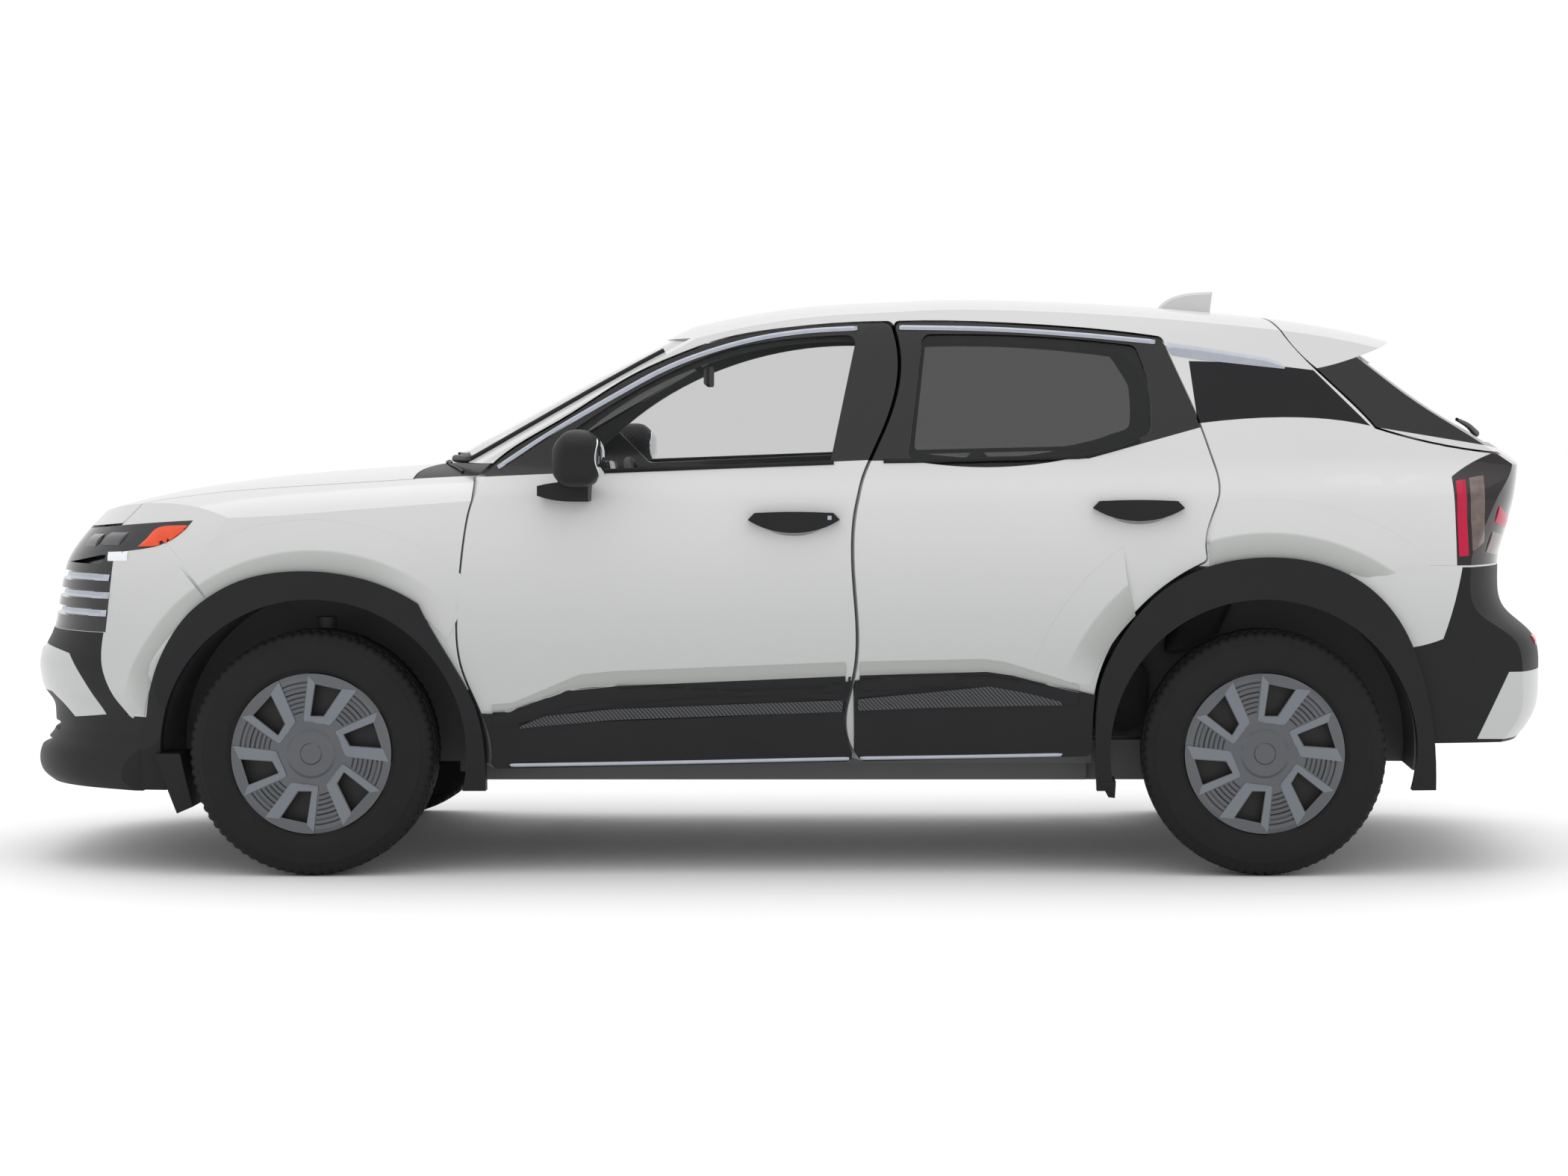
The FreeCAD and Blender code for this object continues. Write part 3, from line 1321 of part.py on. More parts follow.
# Rear twist beam with trailing arms, springs and stub axles
beam_radius = 38.0
trailing_width = 50.0
spring_radius = 50.0
beam_back_share = 0.42
beam_height_share = 0.86
beam_reach_share = 0.95
trailing_low_share = 0.72
trailing_high_share = 1.05
disc_in_share = 0.27
disc_out_share = 0.31
beam_x = rear_axle_x - tyre_radius * beam_back_share
beam_z = tyre_radius * beam_height_share
beam_half = half_track - tyre_width * beam_reach_share
trailing_outer = beam_half + trailing_width
stub_end = half_track + rim_width * disc_in_share - spin_gap
spring_y = -heel_half + spring_radius
beam = Part.makeCylinder(beam_radius, beam_half * 2, vec(beam_x, -beam_half, beam_z), across)
trailing = box((floor_end + seat_gap, -trailing_outer, tyre_radius * trailing_low_share),
               (rear_axle_x + hub_radius, -beam_half, tyre_radius * trailing_high_share))
rear_stub = Part.makeCylinder(hub_radius, stub_end - beam_half - trailing_width / 2,
                              vec(rear_axle_x, -stub_end, tyre_radius), across)
spring = Part.makeCylinder(spring_radius, boot_level - beam_z - seat_gap,
                           vec(beam_x, spring_y, beam_z), upward)
rear_spigot = Part.makeCylinder(spigot_radius, spigot_length,
                                vec(rear_axle_x, -stub_end - spigot_length, tyre_radius), across)
rear_left = trailing.fuse([rear_stub, spring, rear_spigot])
rear_axle = beam.fuse([rear_left, mirrored(rear_left)])

# Exhaust: a pipe along the floor, up behind the heel board and over the beam to a silencer
pipe_radius = 24.0
silencer_radius = 74.0
silencer_width = 430.0
pipe_side_share = 0.17
silencer_share = 1.55
pipe_y = half_width * pipe_side_share
pipe_low = sill_height - pipe_radius - seat_gap
silencer_z = boot_level - silencer_radius - seat_gap
silencer_x = along(silencer_share)
pipe_turn_x = heel_x + pipe_radius + panel_gap * 2
pipe_start = vec(floor_start, pipe_y, pipe_low)
pipe_low_turn = vec(pipe_turn_x, pipe_y, pipe_low)
pipe_high_turn = vec(pipe_turn_x, pipe_y, silencer_z)
pipe_run = Part.makeCylinder(pipe_radius, pipe_turn_x - floor_start, pipe_start, forward)
pipe_rise = Part.makeCylinder(pipe_radius, silencer_z - pipe_low, pipe_low_turn, upward)
pipe_back = Part.makeCylinder(pipe_radius, silencer_x - pipe_turn_x, pipe_high_turn, forward)
pipe_bends = [Part.makeSphere(pipe_radius, pipe_low_turn), Part.makeSphere(pipe_radius, pipe_high_turn)]
silencer = cylinder(silencer_radius, silencer_width, silencer_x, -silencer_width / 2, silencer_z)
exhaust = silencer.fuse([pipe_run, pipe_rise, pipe_back] + pipe_bends)

# Front knuckle with hub, brake disc and strut
brake_radius = 140.0
brake_thickness = 22.0
strut_radius = 28.0
knuckle_inner_share = 0.75
strut_side_share = 0.85
strut_height_share = 1.12
strut_low_share = 0.95
bracket_low_share = 0.80
bracket_high_share = 1.2
brake_side_share = 0.80
knuckle_inner = half_track - tyre_width * knuckle_inner_share
hub_part = Part.makeCylinder(hub_radius, stub_end - knuckle_inner,
                             vec(front_axle_x, -stub_end, tyre_radius), across)
brake_disc = cylinder(brake_radius, brake_thickness, front_axle_x,
                      -half_track - brake_thickness * brake_side_share, tyre_radius)
brake_disc = brake_disc.cut(box((front_axle_x - brake_radius, -half_width, 0),
                                (front_axle_x + brake_radius, 0, eye_low + eye_height * eye_rise_share)))
strut_y = -half_track + tyre_width * strut_side_share
strut = Part.makeCylinder(strut_radius, tyre_radius * strut_height_share,
                          vec(front_axle_x, strut_y, tyre_radius * strut_low_share), upward)
bracket = box((front_axle_x - strut_radius, -knuckle_inner - brake_thickness,
               tyre_radius * bracket_low_share),
              (front_axle_x + strut_radius, strut_y, tyre_radius * bracket_high_share))
front_spigot = Part.makeCylinder(spigot_radius, spigot_length,
                                 vec(front_axle_x, -stub_end - spigot_length, tyre_radius), across)
king_pin = Part.makeCylinder(king_pin_radius, tyre_radius - eye_low, eye_place, upward)
knuckle = hub_part.fuse([brake_disc, strut, bracket, front_spigot, king_pin])
print("cabin and chassis", flush=True)


# Wheels, drawn about the Y axis with the outer face toward negative Y
def turned(points):
    """Body of revolution from pairs of radius and distance outward."""
    corners = [vec(radius, -out, 0) for radius, out in points]
    wire = Part.makePolygon(corners + [corners[0]])
    return Part.Face(wire).revolve(zero, across, 360)


bead_half = rim_width / 2
tyre_half = tyre_width / 2
sidewall = tyre_radius - rim_radius
bead_share = 0.13
bulge_share = 0.48
tread_share = 0.80
bead_top = rim_radius + sidewall * bead_share
bulge_at = rim_radius + sidewall * bulge_share
tyre = turned([
    (rim_radius, -bead_half), (bead_top, -bead_half), (bulge_at, -tyre_half),
    (tyre_radius, -tyre_half * tread_share), (tyre_radius, tyre_half * tread_share),
    (bulge_at, tyre_half), (bead_top, bead_half), (rim_radius, bead_half),
])
flange_in = bead_half + seat_gap
flange_out = flange_in + rim_flange_thickness
rim_out = rim_radius - seat_gap
rim_in = rim_out - rim_wall
disc_out = rim_width * disc_out_share
disc_in = rim_width * disc_in_share
bore_radius = spigot_radius + running_gap
rim = turned([
    (rim_flange_radius, -flange_out), (rim_flange_radius, -flange_in), (rim_out, -flange_in),
    (rim_out, flange_in), (rim_flange_radius, flange_in), (rim_flange_radius, flange_out),
    (rim_in, flange_out), (rim_in, disc_out), (bore_radius, disc_out), (bore_radius, disc_in),
    (rim_in, disc_in), (rim_in, -flange_out),
])

# Wheel cover: a shallow dish with fine ribs, six raised spoke frames and their windows
cover_edge_share = 0.95
rib_start_share = 0.57
rib_pitch_share = 0.035
rib_width_share = 0.016
rib_count = 8
dome_foot_share = 1.12
cap_foot_share = 1.10
spoke_count = 6
cover_in = flange_out + seat_gap
cover_face = cover_in + cover_thickness
cover_dome = cover_face + cover_thickness
cover_cap = cover_dome + cover_band_rise
cover_points = [(0, cover_in), (0, cover_cap), (cover_cap_radius, cover_cap),
                (cover_cap_radius * cap_foot_share, cover_dome), (cover_dome_radius, cover_dome),
                (cover_dome_radius * dome_foot_share, cover_face)]
for number in range(rib_count):
    low = cover_radius * (rib_start_share + rib_pitch_share * number)
    high = low + cover_radius * rib_width_share
    rib_top = cover_face + cover_rib_rise
    cover_points += [(low, cover_face), (low, rib_top), (high, rib_top), (high, cover_face)]
cover_points += [(cover_radius * cover_edge_share, cover_face), (cover_radius, cover_face - cover_rib_rise),
                 (cover_radius, cover_in)]
cover = turned(cover_points)
band_out = cover_face + cover_band_rise
cover_disc = cylinder(cover_radius, band_out - cover_in, 0, -band_out, 0)
for number in range(spoke_count):
    turn_angle = -cover_phase_angle - 360 * number / spoke_count
    band = polygon([vec(cover_radius * first, -band_out, cover_radius * second)
                    for first, second in cover_band_shares], across * (band_out - cover_in))
    window = polygon([vec(cover_radius * first, -cover_dome, cover_radius * second)
                      for first, second in cover_window_shares], across * tyre_width)
    band.rotate(zero, across, turn_angle)
    window.rotate(zero, across, turn_angle)
    cover = cover.fuse(band.common(cover_disc)).cut(window)


def wheel_pieces(name, axle_x, way):
    for label, piece in (("tyre", tyre), ("rim", rim), ("wheel_cover", cover)):
        turned_piece = piece if way < 0 else mirrored(piece)
        save(label + "_" + name, turned_piece.translated(vec(axle_x, way * half_track, tyre_radius)))


wheel_pieces("front_left", front_axle_x, -1)
wheel_pieces("front_right", front_axle_x, 1)
wheel_pieces("rear_left", rear_axle_x, -1)
wheel_pieces("rear_right", rear_axle_x, 1)
single_pieces = {
    "body_frame": body_frame, "door_rings": door_rings, "body_sides": body_sides,
    "roof_panel": roof_panel, "roof_fin": roof_fin, "windscreen": windscreen,
    "quarter_trims": quarter_trims, "tail_lamps": tail_lamps, "cowl": cowl,
    "front_fenders": front_fenders, "headlamps": headlamps, "front_bumper": front_bumper,
    "front_bumper_lower": front_bumper_lower, "front_bumper_chin": front_bumper_chin,
    "grille": grille, "rear_bumper": rear_bumper, "rear_bumper_lower": rear_bumper_lower,
    "rear_bumper_accent": rear_bumper_accent, "front_arch_claddings": both(front_arch),
    "rear_arch_claddings": both(rear_arch), "front_seats": front_seats, "rear_seat": rear_seat,
    "dashboard": dashboard, "engine_block": engine_block, "exhaust": exhaust,
    "front_suspension": front_suspension, "rear_axle": rear_axle,
    "steering_wheel": steering_wheel, "front_knuckle_left": knuckle,
    "front_knuckle_right": mirrored(knuckle), "bonnet": bonnet, "tailgate": tailgate,
    "rear_window": rear_window, "roof_spoiler": roof_spoiler,
}
for name, shape in single_pieces.items():
    save(name, shape)
door_pieces = {
    "front_door": front_door, "front_door_window": front_pane, "front_door_trim": front_door_trim,
    "rear_door": rear_door, "rear_door_window": rear_pane, "rear_door_trim": rear_door_trim,
}
for name, shape in door_pieces.items():
    save(name + "_left", shape)
    save(name + "_right", mirrored(shape))
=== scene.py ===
import math

import bmesh
import bpy
from mathutils import Matrix, Vector
from mathutils.bvhtree import BVHTree


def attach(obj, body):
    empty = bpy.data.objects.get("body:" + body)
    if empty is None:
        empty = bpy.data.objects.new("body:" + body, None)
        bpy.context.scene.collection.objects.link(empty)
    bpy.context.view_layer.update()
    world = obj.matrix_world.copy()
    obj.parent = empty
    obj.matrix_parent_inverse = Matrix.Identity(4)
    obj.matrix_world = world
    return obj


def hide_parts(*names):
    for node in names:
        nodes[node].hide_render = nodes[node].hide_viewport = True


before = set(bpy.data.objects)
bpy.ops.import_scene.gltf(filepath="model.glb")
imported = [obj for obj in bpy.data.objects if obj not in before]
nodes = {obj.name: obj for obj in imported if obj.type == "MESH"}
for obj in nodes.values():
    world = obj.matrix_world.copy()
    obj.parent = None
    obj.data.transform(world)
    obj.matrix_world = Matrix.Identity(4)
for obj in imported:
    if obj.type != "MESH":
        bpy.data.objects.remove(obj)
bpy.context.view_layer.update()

# Sizes in metres, in the row frame: X from nose to tail, Y to the passenger's side, Z up
FRONT_AXLE = -1.293
REAR_AXLE = 1.364
HALF_TRACK = 0.790
TYRE_RADIUS = 0.343
TYRE_WIDTH = 0.215
SIDES = {"left": -1, "right": 1}
SIDE_REACH, END_REACH = 1.6, 3.0                    # where rays toward the skin start


def linked(name, data):
    """A new object in the scene that shows the data."""
    obj = bpy.data.objects.new(name, data)
    bpy.context.scene.collection.objects.link(obj)
    return obj


def smooth(mesh):
    """Shades every face of a mesh smooth."""
    for poly in mesh.polygons:
        poly.use_smooth = True


# ---------------------------------------------------------------- materials

GRAIN_DEPTH = 0.0006
MOTTLE_SHARE = 0.93                                 # darker share of a colour in its mottle
COAT_ROUGHNESS, IOR = 0.03, 1.5
CLOUD_DETAIL, GRAIN_DETAIL = 4.0, 2.0
MIX_FACTOR, MIX_FIRST, MIX_SECOND, MIX_RESULT = 0, 6, 7, 2     # sockets of a colour mix


def add_node(tree, kind, values=None, **settings):
    """A shader node with its settings, and the values of some of its inputs."""
    made = tree.nodes.new("ShaderNode" + kind)
    for key, value in settings.items():
        setattr(made, key, value)
    for key, value in (values or {}).items():
        made.inputs[key].default_value = value
    return made


def colour_mix(tree, factor, first, second):
    """Feeds a mix of two colours into the base colour; the first may come from another node."""
    mix = add_node(tree, "Mix", data_type="RGBA")
    mix.inputs[MIX_SECOND].default_value = (*second, 1)
    if isinstance(first, tuple):
        mix.inputs[MIX_FIRST].default_value = (*first, 1)
    else:
        tree.links.new(first, mix.inputs[MIX_FIRST])
    tree.links.new(factor, mix.inputs[MIX_FACTOR])
    tree.links.new(mix.outputs[MIX_RESULT], tree.nodes["Principled BSDF"].inputs["Base Color"])


def bumped(tree, height, strength, depth):
    """Feeds a height into the normal of the finish."""
    bump = add_node(tree, "Bump", {"Strength": strength, "Distance": depth})
    tree.links.new(height, bump.inputs["Height"])
    tree.links.new(bump.outputs["Normal"], tree.nodes["Principled BSDF"].inputs["Normal"])


def copied(base, name):
    """A copy of a finish: material, node tree and where its base colour comes from."""
    m = base.copy()
    m.name = name
    base_colour = m.node_tree.nodes["Principled BSDF"].inputs["Base Color"]
    return m, m.node_tree, base_colour.links[0].from_socket


def axes_of(tree, output):
    """The X, Y and Z of the point or of the normal being shaded."""
    place = add_node(tree, "TexCoord")
    split = add_node(tree, "SeparateXYZ")
    tree.links.new(place.outputs[output], split.inputs[0])
    return split.outputs


def maths(tree, operation, *operands):
    """The result of one sum on sockets and plain numbers."""
    made = add_node(tree, "Math", operation=operation)
    for socket, operand in zip(made.inputs, operands):
        if isinstance(operand, (int, float)):
            socket.default_value = operand
        else:
            tree.links.new(operand, socket)
    return made.outputs[0]


def material(name, colour, second=None, rough=0.4, rough_spread=0.05, metal=0.0, coat=0.0,
             grain=0.0, grain_scale=900.0, mottle=3.0, alpha=1.0, glow=None, shine=0.5):
    """A Principled finish with mottled colour, uneven roughness and a fine grain."""
    m = bpy.data.materials.new(name)
    m.use_nodes = True
    tree = m.node_tree
    bsdf = tree.nodes["Principled BSDF"]
    place = add_node(tree, "TexCoord")
    cloud = add_node(tree, "TexNoise", {"Scale": mottle, "Detail": CLOUD_DETAIL})
    tree.links.new(place.outputs["Object"], cloud.inputs["Vector"])
    colour_mix(tree, cloud.outputs["Fac"], colour, second or [c * MOTTLE_SHARE for c in colour])
    spread = add_node(tree, "MapRange", {"To Min": max(0.0, rough - rough_spread),
                                         "To Max": rough + rough_spread})
    tree.links.new(cloud.outputs["Fac"], spread.inputs["Value"])
    tree.links.new(spread.outputs["Result"], bsdf.inputs["Roughness"])
    for key, value in {"Metallic": metal, "Coat Weight": coat, "Coat Roughness": COAT_ROUGHNESS,
                       "IOR": IOR, "Specular IOR Level": shine, "Alpha": alpha}.items():
        bsdf.inputs[key].default_value = value
    if glow:
        bsdf.inputs["Emission Color"].default_value = (*glow[0], 1)
        bsdf.inputs["Emission Strength"].default_value = glow[1]
    if grain:
        fine = add_node(tree, "TexNoise", {"Scale": grain_scale, "Detail": GRAIN_DETAIL})
        tree.links.new(place.outputs["Object"], fine.inputs["Vector"])
        bumped(tree, fine.outputs["Fac"], grain, GRAIN_DEPTH)
    return m


PAINT = (0.625, 0.632, 0.626)
RECIPES = {
    "paint": dict(colour=PAINT, rough=0.30, coat=0.35, grain=0.02, mottle=1.2, shine=0.3),
    "frame_metal": dict(colour=(0.05, 0.052, 0.055), second=(0.10, 0.10, 0.10), rough=0.55,
                        rough_spread=0.15, grain=0.3, grain_scale=120),
    "clear_glass": dict(colour=(0.012, 0.014, 0.014), rough=0.02, rough_spread=0.005, alpha=0.13),
    "tinted_glass": dict(colour=(0.010, 0.011, 0.012), rough=0.02, rough_spread=0.005, alpha=0.50),
    "dark_plastic": dict(colour=(0.012, 0.0125, 0.0135), second=(0.017, 0.017, 0.0185), rough=0.46,
                         shine=0.16, grain=0.35, grain_scale=700, mottle=6),
    "gloss_black": dict(colour=(0.006, 0.006, 0.007), rough=0.14, coat=0.35, shine=0.3),
    "lamp_red": dict(colour=(0.012, 0.006, 0.007), second=(0.009, 0.006, 0.007), rough=0.06,
                     rough_spread=0.02, coat=0.3, alpha=0.97, shine=0.3),
    "lamp_glow": dict(colour=(0.48, 0.004, 0.045), second=(0.36, 0.003, 0.030), rough=0.16,
                      coat=0.2, shine=0.2, glow=((0.9, 0.0, 0.08), 0.04)),
    "copper_lens": dict(colour=(0.20, 0.13, 0.11), second=(0.035, 0.030, 0.030), rough=0.12,
                        coat=0.5, mottle=45),
    "lamp_clear": dict(colour=(0.014, 0.015, 0.018), second=(0.030, 0.031, 0.034), rough=0.06,
                       rough_spread=0.02, coat=0.3, alpha=0.93, shine=0.3, mottle=25),
    "lamp_shade": dict(colour=(0.05, 0.052, 0.058), second=(0.012, 0.012, 0.014), rough=0.10,
                       coat=0.8, mottle=60),
    "seat_fabric": dict(colour=(0.028, 0.028, 0.030), second=(0.045, 0.045, 0.047), rough=0.85,
                        grain=0.7, grain_scale=450, mottle=9),
    "cabin_plastic": dict(colour=(0.032, 0.032, 0.034), second=(0.045, 0.045, 0.046), rough=0.6,
                          grain=0.4, grain_scale=600, mottle=5),
    "engine_metal": dict(colour=(0.16, 0.16, 0.165), second=(0.08, 0.08, 0.08), rough=0.45,
                         rough_spread=0.15, metal=0.8, grain=0.4, grain_scale=90),
    "tyre_rubber": dict(colour=(0.008, 0.008, 0.0085), second=(0.014, 0.0138, 0.0135), rough=0.60,
                        shine=0.18, grain=0.3, grain_scale=500, mottle=12),
    "rim_metal": dict(colour=(0.020, 0.020, 0.022), second=(0.035, 0.034, 0.033), rough=0.5,
                      rough_spread=0.1, metal=0.5, grain=0.15),
    "cover_silver": dict(colour=(0.085, 0.090, 0.098), second=(0.120, 0.125, 0.135), rough=0.24,
                         metal=0.90, coat=0.15, grain=0.05, mottle=5),
    # The next two finishes are painted light: a paler tone for the raised frames round the windows
    # as painted highlight, and a dark one for the grooves between the fine ribs as painted shade
    "cover_band": dict(colour=(0.150, 0.165, 0.185), second=(0.180, 0.195, 0.215), rough=0.30,
                       metal=0.85, coat=0.1, grain=0.05, mottle=5),
    "cover_groove": dict(colour=(0.022, 0.023, 0.026), second=(0.032, 0.033, 0.036), rough=0.4,
                         metal=0.5, grain=0.1, mottle=5),
    "plate_white": dict(colour=(0.62, 0.62, 0.61), second=(0.57, 0.57, 0.56), rough=0.35, coat=0.4,
                        grain=0.1),
    "mirror_glass": dict(colour=(0.72, 0.74, 0.76), rough=0.03, rough_spread=0.01, metal=1.0),
    "chrome": dict(colour=(0.45, 0.48, 0.54), second=(0.36, 0.38, 0.43), rough=0.14, metal=1.0,
                   mottle=30),
    "amber": dict(colour=(0.80, 0.085, 0.020), second=(0.62, 0.045, 0.012), rough=0.14, mottle=30,
                  coat=0.25, shine=0.25, glow=((0.9, 0.10, 0.02), 0.05)),
    "lamp_white": dict(colour=(0.72, 0.74, 0.76), rough=0.15, coat=1.0,
                       glow=((0.9, 0.95, 1.0), 0.10)),
}
FINISH = {name: material(name, **recipe) for name, recipe in RECIPES.items()}


# Painted shade in two tints: the first darkens flare and tuck bands below a crease, the second
# darkens the lower body toward the sills
FOLD_SHADE_TINT, SILL_SHADE_TINT = (0.330, 0.340, 0.330), (0.475, 0.484, 0.480)
SHADE_START, SHADE_END = 1.08, 0.55                   # heights between which the paint darkens
# Rib colours are painted light: pale as painted highlight on the crests, dark as painted shade in
# the grooves
RIB_GROOVE_SHADE, RIB_CREST_HIGHLIGHT, RIB_RELIEF = (0.020, 0.020, 0.022), (0.095, 0.097, 0.102), 0.9
BLACK_BAND, DOOR_LINING = (0.010, 0.010, 0.011), (0.055, 0.056, 0.060)
HEADLINER = (0.30, 0.30, 0.29)


def paint_shaded_toward_sills():
    """Paints shade into the paint: it darkens a little toward the sills, where less light falls on
    the body side.
    """
    tree = FINISH["paint"].node_tree
    ramp = add_node(tree, "MapRange", {"From Min": SHADE_START, "From Max": SHADE_END},
                    interpolation_type="SMOOTHSTEP")
    tree.links.new(axes_of(tree, "Object")["Z"], ramp.inputs["Value"])
    colour = tree.nodes["Principled BSDF"].inputs["Base Color"].links[0].from_socket
    colour_mix(tree, ramp.outputs["Result"], colour, SILL_SHADE_TINT)


def paint_with_fold_shade(name):
    """The paint once more, with painted shade where a piece is marked as lying under a crease."""
    m, tree, colour = copied(FINISH["paint"], name)
    mark = add_node(tree, "Attribute", attribute_name="fold")
    colour_mix(tree, mark.outputs["Fac"], colour, FOLD_SHADE_TINT)
    return m


def ribbed(name, scale, depth):
    """Dark moulding with fine slanted ribs, paler on the crests as painted highlight and darker in
    the grooves as painted shade.
    """
    m, tree, _ = copied(FINISH["dark_plastic"], name)
    place = add_node(tree, "TexCoord")
    wave = add_node(tree, "TexWave", {"Scale": scale}, bands_direction="DIAGONAL")
    tree.links.new(place.outputs["Object"], wave.inputs["Vector"])
    bumped(tree, wave.outputs["Fac"], RIB_RELIEF, depth)
    colour_mix(tree, wave.outputs["Fac"], RIB_GROOVE_SHADE, RIB_CREST_HIGHLIGHT)
    return m


def two_tone(name, lines):
    """White paint below some sloped lines of X and height, gloss black above them."""
    m, tree, colour = copied(FINISH["paint"], name)
    axes = axes_of(tree, "Object")
    level = None
    for slope, height in lines:
        line = maths(tree, "MULTIPLY_ADD", axes["X"], slope, height)
        level = line if level is None else maths(tree, "MAXIMUM", level, line)
    above = maths(tree, "GREATER_THAN", axes["Z"], level)
    colour_mix(tree, above, colour, BLACK_BAND)
    return m


def lined(base, name, axis, sign, limit, lining=DOOR_LINING):
    """A copy of a finish with a cabin lining on the faces that look a given way."""
    m, tree, colour = copied(base, name)
    turned = maths(tree, "MULTIPLY", axes_of(tree, "Normal")[axis], sign)
    inward = maths(tree, "GREATER_THAN", turned, limit)
    colour_mix(tree, inward, colour, lining)
    return m


paint_shaded_toward_sills()
FINISH["paint_fold"] = paint_with_fold_shade("paint_fold")
FINISH["ribbed"] = ribbed("ribbed", 55.0, 0.0012)
DOOR_FRONT = two_tone("paint_front_door", [(0.043, 1.148)])
DOOR_REAR = two_tone("paint_rear_door", [(0.010, 1.1545), (0.277, 0.9203)])
OWN_PAINT = {"tailgate": two_tone("paint_tailgate", [(-0.165, 1.5299)])}
for base, where in ((DOOR_FRONT, "front"), (DOOR_REAR, "rear")):
    for side_name, side in SIDES.items():
        OWN_PAINT[f"{where}_door_{side_name}"] = lined(
            base, f"lined_{where}_door_{side_name}", "Y", -side, 0.35)
OWN_PAINT["roof_panel"] = OWN_PAINT["body_sides"] = lined(
    FINISH["paint"], "paint_over_headliner", "Z", -1, 0.3, HEADLINER)


# ---------------------------------------------------------------- camera, light and floor

CAMERA_PLACE = (0.513, -12.0, 1.361)
CAMERA_LENS, CAMERA_SENSOR = 91.6, 36.0
CAMERA_SHIFT = (-0.1119, -0.1274)
FAR = 200.0
FLOOR_HALF = 60.0
SOFTBOXES = (                                       # place, aim, size and power
    ("overhead", (0.0, -1.5, 6.0), (0, 0, 0), (8.0, 3.0), 30),
    ("front_left", (-6.0, -7.0, 4.5), (0, 0, 0.8), (4.0, 3.0), 10),
    ("front_right", (6.5, -7.0, 4.5), (0, 0, 0.8), (4.0, 3.0), 8),
)
SKY_POWER, SKY_SPREAD, SKY_TILT = 0.6, math.radians(50), math.radians(-28)

camera = linked("camera", bpy.data.cameras.new("camera"))
camera.location = CAMERA_PLACE
camera.rotation_euler = (math.radians(90), 0, 0)
camera.data.sensor_width = CAMERA_SENSOR
camera.data.lens = CAMERA_LENS
camera.data.shift_x, camera.data.shift_y = CAMERA_SHIFT
camera.data.clip_end = FAR
bpy.context.scene.camera = camera
bpy.context.scene.view_settings.view_transform = "Standard"

world = bpy.data.worlds.new("studio")
bpy.context.scene.world = world
world.use_nodes = True
world.node_tree.nodes["Background"].inputs["Color"].default_value = (1, 1, 1, 1)
world.node_tree.nodes["Background"].inputs["Strength"].default_value = 1.0

for name, place, aim, size, power in SOFTBOXES:
    data = bpy.data.lights.new(name, "AREA")
    data.energy = power
    data.shape = "RECTANGLE"
    data.size, data.size_y = size
    softbox = linked(name, data)
    softbox.location = place
    softbox.rotation_euler = (Vector(aim) - Vector(place)).to_track_quat("-Z", "Y").to_euler()

sky = linked("sky_panel", bpy.data.lights.new("sky_panel", "SUN"))
sky.data.energy = SKY_POWER
sky.data.angle = SKY_SPREAD
sky.rotation_euler = (SKY_TILT, 0, 0)

floor = linked("floor", bpy.data.meshes.new("floor"))
floor.data.from_pydata([(a * FLOOR_HALF, b * FLOOR_HALF, 0)
                        for a, b in ((-1, -1), (1, -1), (1, 1), (-1, 1))], [], [(0, 1, 2, 3)])
floor.data.materials.append(material("floor", (0.97, 0.97, 0.97), (0.955, 0.955, 0.955), rough=0.8))

# ---------------------------------------------------------------- finishes on the CAD nodes

for name, obj in nodes.items():
    slots = [key for given in obj.data.materials if given for key in FINISH
             if given.name.startswith(key + ".") or given.name.endswith(key)]
    obj.data.materials.clear()
    obj.data.materials.append(OWN_PAINT.get(name, FINISH[slots[-1]]))
    smooth(obj.data)


# ---------------------------------------------------------------- mesh helpers


def dressed(obj, finish, body):
    """Gives a piece its finish and the CAD body it rides on."""
    obj.data.materials.clear()
    obj.data.materials.append(FINISH[finish])
    smooth(obj.data)
    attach(obj, body)
    return obj


def split_edges(obj, degrees):
    """Keeps the edges sharper than that angle crisp."""
    edges = obj.modifiers.new("edges", "EDGE_SPLIT")
    edges.split_angle = math.radians(degrees)


def new_piece(name, verts, faces, finish, body):
    """A closed piece from points and faces, riding on a CAD body."""
    mesh = bpy.data.meshes.new(name)
    mesh.from_pydata([tuple(v) for v in verts], [], faces)
    mesh.validate()
    obj = dressed(linked(name, mesh), finish, body)
    bm = bmesh.new()
    bm.from_mesh(mesh)
    bmesh.ops.recalc_face_normals(bm, faces=bm.faces)
    bm.to_mesh(mesh)
    bm.free()
    return obj


def loft(rows):
    """Points and faces of a closed form through rings of points."""
    around, count = len(rows[0]), len(rows)
    faces = [(i * around + k, i * around + (k + 1) % around, (i + 1) * around + (k + 1) % around,
              (i + 1) * around + k) for i in range(count - 1) for k in range(around)]
    faces.append(tuple(range(around)))
    faces.append(tuple(range((count - 1) * around, count * around))[::-1])
    return [p for row in rows for p in row], faces


def skin_of(*names):
    """The faces of some CAD nodes, to lay trim on."""
    verts, faces = [], []
    for name in names:
        mesh = nodes[name].data
        start = len(verts)
        verts += [v.co.copy() for v in mesh.vertices]
        faces += [tuple(start + i for i in p.vertices) for p in mesh.polygons]
    return BVHTree.FromPolygons(verts, faces)


def on_side(tree, x, z, side):
    """Point and outward normal of the skin at a station and height, seen from one side."""
    hit, normal, _, _ = tree.ray_cast(Vector((x, side * SIDE_REACH, z)), Vector((0, -side, 0)))
    if hit is None:
        return None
    if normal.y * side < 0:
        normal = -normal
    return hit, normal


